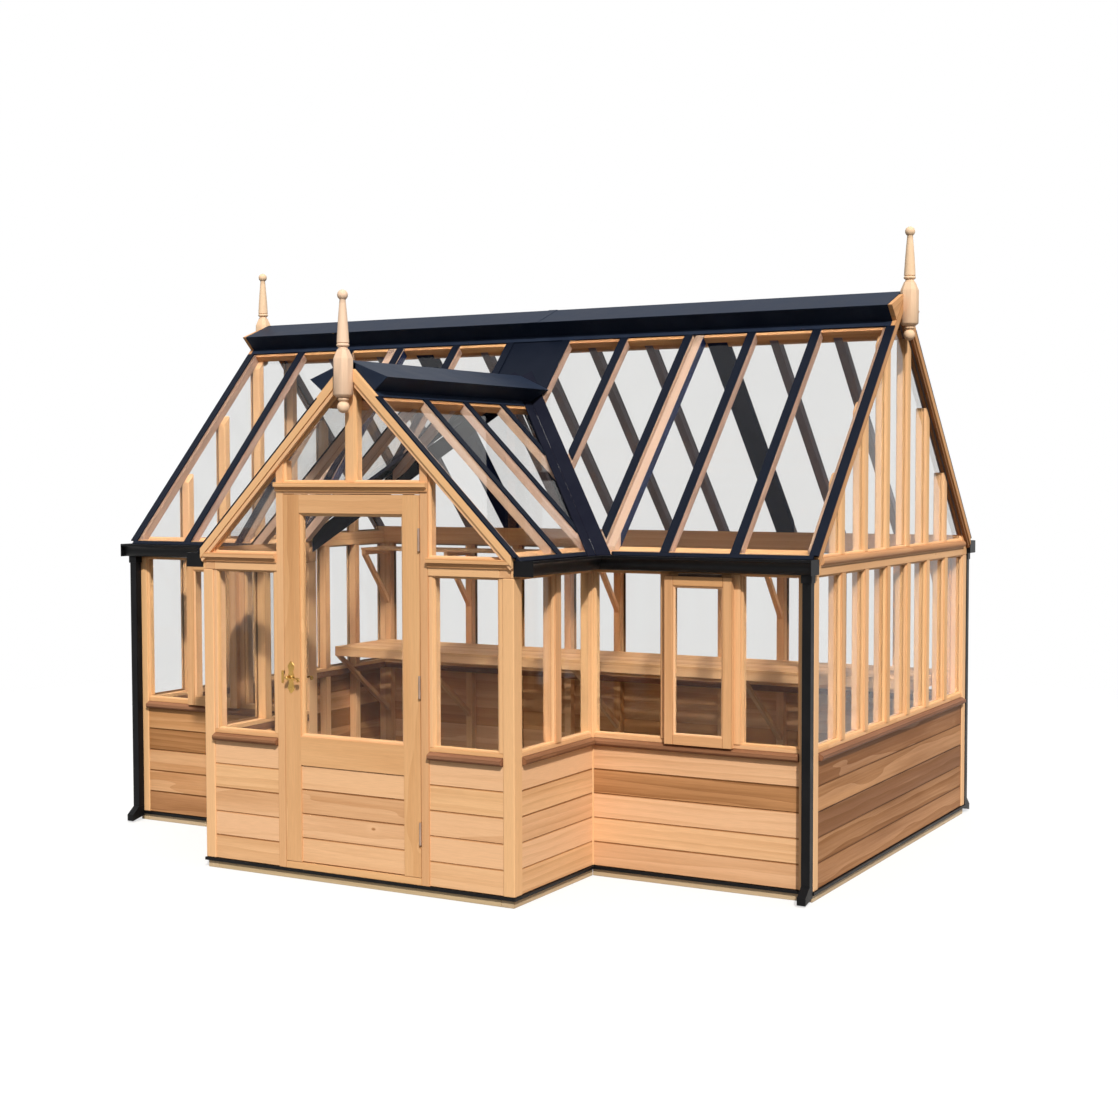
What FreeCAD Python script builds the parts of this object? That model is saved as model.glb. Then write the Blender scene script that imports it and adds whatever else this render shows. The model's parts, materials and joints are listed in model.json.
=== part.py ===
"""T-plan cedar greenhouse: a glazed main room with a gabled entrance porch."""
import FreeCAD, Part
import Sketcher
import math
import os

doc = FreeCAD.newDocument("greenhouse")
sheet = doc.addObject("Spreadsheet::Sheet", "sizes")

# Driving sizes in millimetres, one row of the sheet each.
SIZES = [
    ("house_length", 4400, "main room over its corner posts, along the ridge"),
    ("house_depth", 2600, "main room over its corner posts, across the ridge"),
    ("porch_width", 1940, "porch over its corner posts"),
    ("porch_depth", 813, "porch front ahead of the main front wall"),
    ("eave_height", 1700, "roof surface at the eave edge"),
    ("eave_reach", 37, "eave edge beyond the wall face"),
    ("main_rise", 1415, "main apex above the eave edge"),
    ("porch_rise", 997, "porch apex above the eave edge"),
    ("head_drop", 85, "top of the wall glazing below the eave edge"),
    ("frame_depth", 80, "depth of the wall timbers"),
    ("post_face", 66, "face of a corner post"),
    ("bar_face", 52, "face of a wall glazing bar"),
    ("plinth_height", 38, "base timber"),
    ("plinth_recess", 8, "base timber behind the wall face"),
    ("strip_height", 16, "black drip strip over the base"),
    ("strip_reach", 6, "drip strip beyond the wall face"),
    ("board_cover", 128.6, "height that one cladding board covers"),
    ("board_thick", 18, "cladding board thickness"),
    ("board_recess", 6, "cladding behind the wall face"),
    ("joint_bevel", 4, "bevel on a cladding board edge"),
    ("tongue", 5, "tongue height on a cladding board"),
    ("slack", 0.3, "clearance round a tongue"),
    ("sill_height", 38, "window sill"),
    ("sill_reach", 24, "sill nose beyond the wall face"),
    ("sill_fall", 13, "fall of the sill top towards its nose"),
    ("rail_height", 22, "glazing rail on the sill"),
    ("pane", 4, "glass thickness"),
    ("pane_recess", 24, "wall glass behind the wall face"),
    ("pane_seat", 0.2, "clearance at a glass edge"),
    ("band_flat", 40, "flat rail of the gable band"),
    ("band_roll", 50, "moulded roll of the gable band"),
    ("band_reach", 20, "gable band roll beyond the wall face"),
    ("stud_recess", 8, "gable stud behind the wall face"),
    ("fascia", 18, "fascia board thickness"),
    ("bay_pitch", 388, "roof bays over the porch opening"),
    ("wing_offset", 30, "first wing bar beyond the porch wall"),
    ("twin_pitch", 66, "second bar beside the first wing bar"),
    ("rafter_face", 52, "rafter width"),
    ("rafter_depth", 46, "rafter depth"),
    ("verge_face", 44, "width of a main end rafter"),
    ("verge_inset", 30, "centre of the end roof bay line in from the gable face"),
    ("cap_face", 50, "aluminium bar cap width"),
    ("cap_thick", 8, "aluminium bar cap height"),
    ("eave_strip", 26, "drip bar along the foot of the roof glass"),
    ("eave_lip", 16, "depth of that drip bar"),
    ("ridge_face", 40, "ridge beam width"),
    ("trimmer_depth", 44, "trimmer under the head of the roof glass"),
    ("trimmer_face", 50, "trimmer width in plan"),
    ("trimmer_show", 15, "trimmer showing below the apron, in plan"),
    ("barge_thick", 26, "barge board thickness"),
    ("barge_depth", 46, "barge board depth"),
    ("barge_step", 8, "lower barge band set back"),
    ("barge_lower", 20, "lower barge band depth"),
    ("hood_half", 242, "ridge hood half width at its tips"),
    ("hood_drop", 90, "hood tips below the apex"),
    ("hood_lip", 159, "half width where the hood meets the roof"),
    ("apron_half", 187, "half width of the apron below the hood"),
    ("sheet_thick", 3, "folded sheet metal"),
    ("valley_face", 45, "valley rafter width"),
    ("valley_depth", 90, "valley rafter depth"),
    ("valley_wing", 72, "valley channel width on each slope"),
    ("gutter_reach", 112, "gutter front beyond the wall face"),
    ("gutter_depth", 76, "gutter height"),
    ("gutter_wall", 3, "gutter metal"),
    ("gutter_foot", 64, "flat floor of the gutter"),
    ("gutter_end", 20, "gutter past the gable face"),
    ("pipe_side", 46, "square downpipe"),
    ("pipe_wall", 2.5, "downpipe metal"),
    ("pipe_corner", 22, "downpipe centre in from the corner"),
    ("collar_reach", 5, "downpipe collar beyond the pipe"),
    ("collar_height", 40, "downpipe collar"),
    ("shoe_reach", 55, "downpipe shoe ahead of the pipe"),
    ("shoe_height", 90, "downpipe shoe"),
    ("finial_offset", 45, "finial axis ahead of the gable face"),
    ("finial_side", 90, "finial block"),
    ("finial_bevel", 22, "bevel on the block corners"),
    ("finial_drop", 190, "block foot below the apex"),
    ("finial_block", 242, "block height"),
    ("spire_height", 260, "turned spire from block to ball centre"),
    ("spire_foot", 33, "spire radius at its foot"),
    ("ball_radius", 27, "ball on the spire"),
    ("pendant_radius", 31, "pendant ball under the block"),
    ("pendant_ring", 10, "ring between the block and the pendant"),
    ("leaf_width", 848, "door leaf"),
    ("leaf_rise", 316, "door leaf top above the eave edge"),
    ("leaf_base", 94, "door leaf above the ground"),
    ("leaf_thick", 45, "door leaf"),
    ("leaf_gap", 3, "clearance round the door leaf"),
    ("stile_face", 100, "door stile"),
    ("top_rail", 96, "door top rail"),
    ("lock_rail_base", 604, "underside of the lock rail"),
    ("lock_rail_top", 755, "top of the lock rail"),
    ("foot_rail", 100, "ledge behind the foot of the door boards"),
    ("jamb_face", 47, "door jamb"),
    ("stop_face", 15, "door stop beyond the jamb"),
    ("head_rail", 60, "rail over the door"),
    ("mould_height", 46, "moulding over the door and windows"),
    ("mould_reach", 24, "moulding beyond the wall face"),
    ("window_edge", 22, "frame round a porch window"),
    ("king_face", 50, "centre post in the porch gable"),
    ("hinge_height", 114, "door hinge"),
    ("hinge_radius", 6.5, "door hinge knuckle"),
    ("pin_radius", 3, "door hinge pin"),
    ("pin_play", 0.05, "running clearance of pins and spindle"),
    ("hinge_plate", 1.3, "door hinge plate"),
    ("hinge_low", 318, "lower hinge height"),
    ("hinge_drop", 222, "upper hinge below the leaf top"),
    ("lever_height", 1062, "lever axis"),
    ("lever_inset", 40, "lever axis in from the leaf edge"),
    ("lever_length", 88, "lever from axis to tip"),
    ("lever_stand", 46, "lever ahead of the leaf face"),
    ("lever_thick", 11, "lever"),
    ("spindle_radius", 5, "lever spindle"),
    ("plate_length", 164, "handle plate"),
    ("plate_face", 46, "handle plate"),
    ("plate_thick", 3, "handle plate"),
    ("lock_length", 66, "lock case across the stile"),
    ("lock_height", 110, "lock case"),
    ("lock_thick", 17, "lock case"),
    ("lock_wall", 2, "lock case metal"),
    ("bolt_height", 18, "latch bolt"),
    ("bolt_thick", 10, "latch bolt"),
    ("bolt_throw", 11, "latch bolt beyond the leaf edge"),
    ("sash_lap", 19, "vent sash over each bar"),
    ("sash_thick", 32, "vent sash"),
    ("sash_face", 50, "vent sash stile and rails"),
    ("sash_standoff", 1, "vent sash ahead of the wall face"),
    ("sash_foot", 2, "vent sash above the sill"),
    ("sash_head", 15, "vent sash top below the wall head"),
    ("vent_head", 40, "fixed rail over a vent"),
    ("vent_knuckle", 4, "vent hinge knuckle radius"),
    ("vent_hinge", 240, "long hinge over a vent"),
    ("bench_height", 905, "staging top"),
    ("bench_depth", 620, "staging depth"),
    ("slat_face", 50, "staging and shelf slat"),
    ("slat_thick", 18, "staging and shelf slat"),
    ("bench_rail", 50, "staging rail"),
    ("bench_brace", 460, "staging brace foot below the staging rail"),
    ("bench_end", 4, "staging clear of the gable frame"),
    ("shelf_drop", 25, "high shelf below the top of the wall glazing"),
    ("shelf_depth", 300, "high shelf"),
    ("bracket_drop", 370, "shelf bracket foot below the shelf"),
    ("bracket_face", 32, "shelf bracket timber"),
]

BOARD_COURSES = 5
DOOR_BOARDS = 4
CENTRE_BAYS = 5
WING_BAYS = 3
GABLE_BAYS = 7
BENCH_SLATS = 9
SHELF_SLATS = 4
BRACKET_STEP = 3
KNUCKLES = 3
CUTTER_REACH = 6000.0

for row, (alias, number, note) in enumerate(SIZES, start=1):
    sheet.set(f"A{row}", alias)
    sheet.set(f"B{row}", str(number))
    sheet.setAlias(f"B{row}", alias)
    sheet.set(f"C{row}", note)
doc.recompute()


class Size:
    """A length that carries both its sheet expression and its value."""

    def __init__(self, text, value):
        self.text = text
        self.value = value

    def __add__(self, other):
        return Size(f"({self.text} + {text(other)})", self.value + value(other))

    def __radd__(self, other):
        return Size(f"({text(other)} + {self.text})", value(other) + self.value)

    def __sub__(self, other):
        return Size(f"({self.text} - {text(other)})", self.value - value(other))

    def __rsub__(self, other):
        return Size(f"({text(other)} - {self.text})", value(other) - self.value)

    def __mul__(self, other):
        return Size(f"({self.text} * {text(other)})", self.value * value(other))

    __rmul__ = __mul__

    def __truediv__(self, other):
        return Size(f"({self.text} / {text(other)})", self.value / value(other))

    def __neg__(self):
        return Size(f"(0 - {self.text})", -self.value)


def text(length):
    """The sheet expression of a Size, or a plain number as text."""
    return length.text if isinstance(length, Size) else repr(float(length))


def value(length):
    """The number of millimetres."""
    return length.value if isinstance(length, Size) else float(length)


def diagonal(one, two):
    """Length of the hypotenuse over two sides."""
    return Size(f"sqrt({text(one)} ^ 2 + {text(two)} ^ 2)", math.hypot(value(one), value(two)))


class Sizes:
    """Every sheet cell as a Size, under its alias."""


d = Sizes()
for alias, number, note in SIZES:
    setattr(d, alias, Size(f"sizes.{alias}", float(sheet.get(alias))))


def bind(item, name, length):
    """Ties a property of a document object to the sheet."""
    setattr(item, name, value(length))
    if isinstance(length, Size):
        item.setExpression(name, length.text)


X = FreeCAD.Vector(1, 0, 0)
Y = FreeCAD.Vector(0, 1, 0)
Z = FreeCAD.Vector(0, 0, 1)

# The origin is under the middle of the plan, from the porch finial to the back gutter or pipe shoe.
front_edge = d.porch_depth + d.finial_offset + d.finial_side / 2
shoe_tip = d.strip_reach + d.pipe_wall + d.pipe_side + d.shoe_reach
back_edge = d.house_depth + max(d.gutter_reach, shoe_tip, key=value)
middle = (back_edge - front_edge) / 2


def spot(x, y, z):
    """A point measured from the main front wall, moved to the part's own origin."""
    return FreeCAD.Vector(value(x), value(y) - value(middle), value(z))


class Side:
    """A wall or roof slope: right and up along its face, out along its normal."""

    def __init__(self, origin, right, up):
        self.origin = origin
        self.right = right
        self.up = up
        self.out = right.cross(up)
        self.turn = FreeCAD.Rotation(self.right, self.up, self.out, "XYZ")

    def at(self, right, up, out):
        """A point given along the three directions of this side."""
        along = self.right * value(right) + self.up * value(up)
        return self.origin + along + self.out * value(out)


def beam(side, right, up, out):
    """A squared piece between two limits along each direction of a side."""
    box = doc.addObject("Part::Box", "beam")
    for name, (low, high) in zip(("Length", "Width", "Height"), (right, up, out)):
        bind(box, name, high - low)
    box.Placement = FreeCAD.Placement(side.at(right[0], up[0], out[0]), side.turn)
    return box


def rod(side, right, up, out, radius):
    """A round bar along the out direction, between the two limits of out."""
    bar = doc.addObject("Part::Cylinder", "rod")
    bind(bar, "Radius", radius)
    bind(bar, "Height", out[1] - out[0])
    bar.Placement = FreeCAD.Placement(side.at(right, up, out[0]), side.turn)
    return bar


def arc_centre(start, end, radius):
    """Centre of a minor arc: left of the chord for a positive radius."""
    chord = end - start
    half = chord.Length / 2
    left = FreeCAD.Vector(-chord.y, chord.x, 0) / chord.Length
    rise = math.sqrt(max(radius * radius - half * half, 0.0))
    return (start + end) / 2 + left * math.copysign(rise, radius)


def outline(corners, owner=None, name="outline"):
    """A closed sketch through corners (right, up) or (right, up, arc radius to the next corner)."""
    maker = owner.newObject if owner else doc.addObject
    sketch = maker("Sketcher::SketchObject", name)
    spots = [FreeCAD.Vector(value(c[0]), value(c[1]), 0) for c in corners]
    count = len(corners)
    ends = []
    for index, corner in enumerate(corners):
        start = spots[index]
        end = spots[(index + 1) % count]
        if len(corner) == 2:
            sketch.addGeometry(Part.LineSegment(start, end))
            ends.append((1, 2))
            continue
        radius = value(corner[2])
        centre = arc_centre(start, end, radius)
        first, last = (start, end) if radius > 0 else (end, start)
        angles = [math.atan2(p.y - centre.y, p.x - centre.x) for p in (first, last)]
        circle = Part.Circle(centre, Z, abs(radius))
        sketch.addGeometry(Part.ArcOfCircle(circle, angles[0], angles[1]))
        ends.append((1, 2) if radius > 0 else (2, 1))
    for index in range(count):
        following = (index + 1) % count
        joint = Sketcher.Constraint("Coincident", index, ends[index][1], following, ends[following][0])
        sketch.addConstraint(joint)
    for index, corner in enumerate(corners):
        for kind, length in (("DistanceX", corner[0]), ("DistanceY", corner[1])):
            key = sketch.addConstraint(Sketcher.Constraint(kind, index, ends[index][0], value(length)))
            if isinstance(length, Size):
                sketch.setExpression(f"Constraints[{key}]", length.text)
        if len(corner) == 3:
            bend = corner[2] if value(corner[2]) > 0 else -corner[2]
            key = sketch.addConstraint(Sketcher.Constraint("Radius", index, value(bend)))
            sketch.setExpression(f"Constraints[{key}]", text(bend))
    return sketch


def prism(sketch, length, origin, turn):
    """A sketch carried straight along its normal."""
    run = doc.addObject("Part::Extrusion", "prism")
    run.Base = sketch
    run.DirMode = "Normal"
    run.Solid = True
    bind(run, "LengthFwd", length)
    run.Placement = FreeCAD.Placement(origin, turn)
    return run


def panel(side, sketch, out):
    """A sketch drawn on the face of a side, given thickness between two limits."""
    return prism(sketch, out[1] - out[0], side.at(0, 0, out[0]), side.turn)


def moulding(side, profile, right, up, out=0):
    """A profile drawn (outward, upward), run along a side between two limits."""
    turn = FreeCAD.Rotation(side.out, side.up, side.right * -1, "XYZ")
    return prism(profile, right[1] - right[0], side.at(right[1], up, out), turn)


def group(pieces):
    """Several separate pieces as one object."""
    bundle = doc.addObject("Part::Compound", "group")
    bundle.Links = pieces
    return bundle


def cut(base, tool):
    """The base with the tool taken out of it."""
    result = doc.addObject("Part::Cut", "cut")
    result.Base = base
    result.Tool = tool
    return result


def keep(base, tool):
    """The part of the base that lies inside the tool."""
    result = doc.addObject("Part::Common", "keep")
    result.Base = base
    result.Tool = tool
    return result


def join(pieces):
    """Pieces made as one solid."""
    result = doc.addObject("Part::MultiFuse", "join")
    result.Shapes = pieces
    result.Refine = True
    return result


subparts = {}


def add(label, pieces):
    """Puts one piece or several under the name of a sub-part."""
    subparts.setdefault(label, []).extend(pieces if isinstance(pieces, list) else [pieces])


def named(label, pieces):
    """The finished sub-part: a single object or a group of separate pieces."""
    item = pieces[0] if len(pieces) == 1 else group(pieces)
    item.Label = label
    return item


# Walls, each seen from outside: right along the wall, up, and out of the house.
half = d.house_length / 2
porch = d.porch_width / 2
front = Side(spot(0, 0, 0), X, Z)
back = Side(spot(0, d.house_depth, 0), X * -1, Z)
right_gable = Side(spot(half, 0, 0), Y, Z)
left_gable = Side(spot(-half, d.house_depth, 0), Y * -1, Z)
porch_front = Side(spot(0, -d.porch_depth, 0), X, Z)
porch_right = Side(spot(porch, -d.porch_depth, 0), Y, Z)
porch_left = Side(spot(-porch, 0, 0), Y * -1, Z)
plan = Side(spot(0, 0, 0), X, Y)

# Roof slopes: right along the eave, up the slope, and out of the roof surface.
main_run = d.house_depth / 2 + d.eave_reach
main_slope = diagonal(main_run, d.main_rise)
main_tan = d.main_rise / main_run
porch_run = porch + d.eave_reach
porch_slope = diagonal(porch_run, d.porch_rise)
porch_tan = d.porch_rise / porch_run


def slope_up(run, rise, level):
    """Unit direction up a slope whose level direction is given."""
    steep = FreeCAD.Vector(level) * value(run) + Z * value(rise)
    return steep.normalize()


front_slope = Side(spot(0, -d.eave_reach, d.eave_height), X, slope_up(main_run, d.main_rise, Y))
back_slope = Side(
    spot(0, d.house_depth + d.eave_reach, d.eave_height), X * -1, slope_up(main_run, d.main_rise, Y * -1)
)
porch_right_slope = Side(spot(porch_run, 0, d.eave_height), Y, slope_up(porch_run, d.porch_rise, X * -1))
porch_left_slope = Side(spot(-porch_run, 0, d.eave_height), Y * -1, slope_up(porch_run, d.porch_rise, X))

# Levels up the walls and layers down through the roof.
strip_base = d.plinth_height
board_base = strip_base + d.strip_height
sill_base = board_base + d.board_cover * BOARD_COURSES
sill_top = sill_base + d.sill_height
head_height = d.eave_height - d.head_drop
leaf_top = d.eave_height + d.leaf_rise
shelf_height = head_height - d.shelf_drop
glass_base = sill_top + d.rail_height
glass_layer = d.cap_thick
rafter_layer = glass_layer + d.pane
under_layer = rafter_layer + d.rafter_depth
main_under = under_layer * main_slope / main_run
porch_under = under_layer * porch_slope / porch_run
main_apex = d.eave_height + d.main_rise
porch_apex = d.eave_height + d.porch_rise
ridge_half = d.ridge_face / 2
wall = (-d.frame_depth, 0 * d.frame_depth)
band_base = head_height
band_mid = band_base + d.band_flat
band_top = band_mid + d.band_roll

# Runs of wall between posts, as (side, left end, right end).
wing_runs = [(front, porch, half - d.frame_depth), (front, -half + d.frame_depth, -porch)]
porch_runs = [
    (porch_right, d.frame_depth, d.porch_depth),
    (porch_left, 0 * porch, d.porch_depth - d.frame_depth),
]
gable_runs = [(side, d.post_face, d.house_depth - d.post_face) for side in (right_gable, left_gable)]
back_runs = [(back, -half + d.frame_depth, half - d.frame_depth)]
jamb_edge = d.leaf_width / 2 + d.leaf_gap + d.jamb_face
window_runs = [
    (porch_front, jamb_edge, porch - d.post_face),
    (porch_front, -porch + d.post_face, -jamb_edge),
]
glazed_runs = wing_runs + porch_runs + gable_runs + back_runs


# Roof bars across the main slopes, seen along the eave.
def wing_bars():
    """Bar centres from the porch wall to the gable."""
    first = porch + d.wing_offset
    last = half - d.verge_inset
    return [first + (last - first) * step / WING_BAYS for step in range(WING_BAYS + 1)]


def centre_bars():
    """Bar centres over the porch opening, right of the middle."""
    return [d.bay_pitch * (step + 0.5) for step in range(CENTRE_BAYS // 2)]


right_bars = centre_bars() + wing_bars()
main_bars = [-bar for bar in reversed(right_bars)] + right_bars
twin_bar = porch + d.wing_offset + d.twin_pitch
twin_bars = [-twin_bar, twin_bar]
last_bar = len(main_bars) - 1
pair_bars = [main_bars[WING_BAYS], main_bars[last_bar - WING_BAYS]]

# Bars across the porch slopes, measured back from the main front wall.
porch_verge = d.cap_face / 2 - d.barge_thick - d.porch_depth
porch_bars = [porch_verge, -d.bay_pitch, 0 * d.bay_pitch, d.bay_pitch]

# Plan of the valleys: where the porch slopes run into the main front slope.
valley_span = d.porch_rise / main_tan
valley_top = valley_span - d.eave_reach


def valley_cutter(offset, behind):
    """Upright block on one side of both valleys, its faces offset from the valley lines."""
    reach = value(porch_run) + value(d.porch_width)
    fall = value(valley_span) / value(porch_run)
    peak = value(valley_top) + value(offset) * math.hypot(1, fall)
    edge = peak - reach * fall
    far = CUTTER_REACH if behind else -CUTTER_REACH
    corners = [(0, peak), (reach, edge), (reach, far), (-reach, far), (-reach, edge)]
    return prism(outline(corners), CUTTER_REACH, plan.at(0, 0, 0), plan.turn)


def gable_block(side, centre, run, rise_tan, under, ridge_to):
    """Upright block under a pair of roof slopes, down to the ground."""
    reach = value(run)
    foot = value(d.eave_height) - value(under)
    peak = foot + (reach - value(ridge_to)) * value(rise_tan)
    mid = value(centre)
    ridge = value(ridge_to)
    corners = [(mid - reach, 0), (mid + reach, 0), (mid + reach, foot)]
    corners += [(mid + ridge, peak), (mid - ridge, peak), (mid - reach, foot)]
    return panel(side, outline(corners), (-CUTTER_REACH / 2, CUTTER_REACH / 2))


def build_base():
    """Base timbers and the drip strip, butted round the plan."""
    base = (-d.frame_depth, -d.plinth_recess)
    strip = (-d.frame_depth, d.strip_reach)
    timbers = []
    strips = []
    plan_runs = [
        (right_gable, (d.plinth_recess, d.house_depth - d.plinth_recess)),
        (left_gable, (d.plinth_recess, d.house_depth - d.plinth_recess)),
        (front, (porch - d.plinth_recess, half - d.frame_depth)),
        (front, (-half + d.frame_depth, -porch + d.plinth_recess)),
        (back, (-half + d.frame_depth, half - d.frame_depth)),
        (porch_front, (-porch + d.frame_depth, porch - d.frame_depth)),
        (porch_right, (d.plinth_recess, d.porch_depth + d.plinth_recess)),
        (porch_left, (-d.plinth_recess, d.porch_depth - d.plinth_recess)),
    ]
    for side, along in plan_runs:
        timbers.append(beam(side, along, (0 * strip_base, strip_base), base))
    strip_runs = [
        (right_gable, (-d.strip_reach, d.house_depth + d.strip_reach)),
        (left_gable, (-d.strip_reach, d.house_depth + d.strip_reach)),
        (front, (porch + d.strip_reach, half - d.frame_depth)),
        (front, (-half + d.frame_depth, -porch - d.strip_reach)),
        (back, (-half + d.frame_depth, half - d.frame_depth)),
        (porch_front, (-porch + d.frame_depth, porch - d.frame_depth)),
        (porch_right, (-d.strip_reach, d.porch_depth + d.frame_depth)),
        (porch_left, (-d.frame_depth, d.porch_depth + d.strip_reach)),
    ]
    for side, along in strip_runs:
        strips.append(beam(side, along, (strip_base, board_base), strip))
    add("plinth", timbers)
    add("drip_strip", strips)


def build_posts():
    """Corner posts of the room, the porch and the two inner corners."""
    up = (board_base, head_height)
    depth = (-d.frame_depth, 0 * d.frame_depth)
    posts = []
    for side in (right_gable, left_gable):
        posts.append(beam(side, (0 * half, d.post_face), up, depth))
        posts.append(beam(side, (d.house_depth - d.post_face, d.house_depth), up, depth))
    posts.append(beam(front, (porch - d.frame_depth, porch), up, depth))
    posts.append(beam(front, (-porch, -porch + d.frame_depth), up, depth))
    posts.append(beam(porch_front, (porch - d.post_face, porch), up, depth))
    posts.append(beam(porch_front, (-porch, -porch + d.post_face), up, depth))
    add("corner_posts", posts)


def board_profile(cover):
    """Tongued and grooved board with bevelled edges, outer face at zero."""
    t = d.board_thick
    outer = t / 3
    inner = t * 2 / 3
    corners = [(0 * t, d.joint_bevel), (0 * t, cover - d.joint_bevel), (-d.joint_bevel, cover)]
    corners += [(-outer, cover), (-outer, cover + d.tongue), (-inner, cover + d.tongue), (-inner, cover)]
    corners += [(-t, cover), (-t, 0 * t), (-inner - d.slack, 0 * t)]
    corners += [(-inner - d.slack, d.tongue + d.slack), (d.slack - outer, d.tongue + d.slack)]
    corners += [(d.slack - outer, 0 * t), (-d.joint_bevel, 0 * t)]
    return outline(corners)


def build_boards():
    """Courses of cladding boards between the posts of every wall."""
    profile = board_profile(d.board_cover)

    def courses(runs):
        return [
            moulding(side, profile, (left, right), board_base + d.board_cover * course, -d.board_recess)
            for side, left, right in runs
            for course in range(BOARD_COURSES)
        ]

    add("front_boards", courses(wing_runs))
    add("porch_boards", courses(porch_runs + window_runs))
    add("gable_boards", courses(gable_runs))
    add("back_boards", courses(back_runs))


def build_sills():
    """Sills grooved over the top boards, with a bevelled and weathered nose."""
    t = d.board_thick
    groove_out = d.slack - d.board_recess - t / 3
    groove_in = -d.board_recess - t * 2 / 3 - d.slack
    groove_top = d.tongue + d.slack
    nose = d.sill_height / 4
    corners = [(-d.frame_depth, 0 * t), (groove_in, 0 * t), (groove_in, groove_top), (groove_out, groove_top)]
    corners += [(groove_out, 0 * t), (d.sill_reach - nose, 0 * t), (d.sill_reach, nose)]
    corners += [(d.sill_reach, d.sill_height - d.sill_fall), (0 * t, d.sill_height)]
    corners.append((-d.frame_depth, d.sill_height))
    profile = outline(corners)
    runs = glazed_runs + window_runs
    sills = {run: moulding(run[0], profile, run[1:], sill_base) for run in runs}
    porch_sills = group([sills[run] for run in porch_runs])
    add("sills", [cut(sills[run], porch_sills) if run in wing_runs else sills[run] for run in runs])
    rail = (-d.frame_depth, -d.board_recess)
    rails = [beam(side, (left, right), (sill_top, glass_base), rail) for side, left, right in runs]
    add("glazing_rails", rails)


def run_bars(side, left, right):
    """Glazing bar centres along one run of wall."""
    if side is front:
        bars = wing_bars()[1:WING_BAYS]
        return bars if value(left) > 0 else [-bar for bar in reversed(bars)]
    if side is back:
        return [-bar for bar in reversed(main_bars[1:last_bar])]
    bays = GABLE_BAYS if side in (right_gable, left_gable) else 2
    return [left + (right - left) * step / bays for step in range(1, bays)]


def end_bars(side, left, right):
    """Bars against the posts at both ends of the back wall, which carry the end brackets."""
    return [left + d.bar_face / 2, right - d.bar_face / 2] if side is back else []


def build_wall_bars():
    """Glazing bars above the rails and the studs behind the boards."""
    behind = (-d.frame_depth, -d.board_recess - d.board_thick)
    bars = []
    studs = []
    for side, left, right in glazed_runs:
        for bar in run_bars(side, left, right) + end_bars(side, left, right):
            face = (bar - d.bar_face / 2, bar + d.bar_face / 2)
            bars.append(beam(side, face, (glass_base, head_height), wall))
            studs.append(beam(side, face, (board_base, sill_base), behind))
    add("wall_bars", bars)
    add("wall_studs", studs)


def pane_bays(side, left, right):
    """Clear openings between the bars of one run of wall."""
    ends = d.bar_face if side is back else 0 * d.bar_face
    edges = [left + ends]
    for bar in run_bars(side, left, right):
        edges += [bar - d.bar_face / 2, bar + d.bar_face / 2]
    edges.append(right - ends)
    return list(zip(edges[0::2], edges[1::2]))


def wall_pane(side, left, right, low, high):
    """One sheet of wall glass held inside its frame."""
    depth = (-d.pane_recess - d.pane, -d.pane_recess)
    across = (left + d.pane_seat, right - d.pane_seat)
    return beam(side, across, (low + d.pane_seat, high - d.pane_seat), depth)


def build_wall_glass():
    """Glass in every bay except the vents in the middle of each wing."""
    names = ["front_glass", "porch_glass", "gable_glass", "back_glass"]
    sets = (wing_runs, porch_runs, gable_runs, back_runs)
    for label, runs in zip(names, sets):
        panes = []
        for side, left, right in runs:
            bays = pane_bays(side, left, right)
            if side is front:
                bays = [bays[0], bays[-1]]
            panes += [wall_pane(side, low, high, glass_base, head_height) for low, high in bays]
        add(label, panes)


def plate_profile(rise_tan, under):
    """Wall plate behind the fascia, its top sloped to seat the rafters."""
    inner = d.eave_height + (d.eave_reach + d.frame_depth) * rise_tan - under
    outer = d.eave_height + (d.eave_reach + d.fascia) * rise_tan - under
    corners = [(-d.frame_depth, head_height), (-d.fascia, head_height), (-d.fascia, outer)]
    corners.append((-d.frame_depth, inner))
    return outline(corners)


def build_plates():
    """Wall plates and fascias along the eaves."""
    main_plate = plate_profile(main_tan, main_under)
    porch_plate = plate_profile(porch_tan, porch_under)
    inner = porch - d.frame_depth
    plates = [moulding(front, main_plate, (inner, half), 0), moulding(front, main_plate, (-half, -inner), 0)]
    plates.append(moulding(back, main_plate, (-half, half), 0))
    side_end = d.porch_depth + d.fascia
    plates.append(moulding(porch_right, porch_plate, (0 * half, side_end), 0))
    plates.append(moulding(porch_left, porch_plate, (-d.fascia, d.porch_depth), 0))
    add("wall_plates", plates)
    main_top = d.eave_height + d.eave_reach * main_tan - rafter_layer * main_slope / main_run
    porch_top = d.eave_height + d.eave_reach * porch_tan - rafter_layer * porch_slope / porch_run
    depth = (-d.fascia, 0 * d.fascia)
    corner = porch - d.fascia
    boards = [beam(front, (corner, half), (head_height, main_top), depth)]
    boards.append(beam(front, (-half, -corner), (head_height, main_top), depth))
    boards.append(beam(back, (-half, half), (head_height, main_top), depth))
    porch_up = (head_height, porch_top)
    boards.append(beam(porch_right, (0 * half, d.porch_depth), porch_up, depth))
    boards.append(beam(porch_left, (0 * half, d.porch_depth), porch_up, depth))
    add("fascias", boards)


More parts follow.
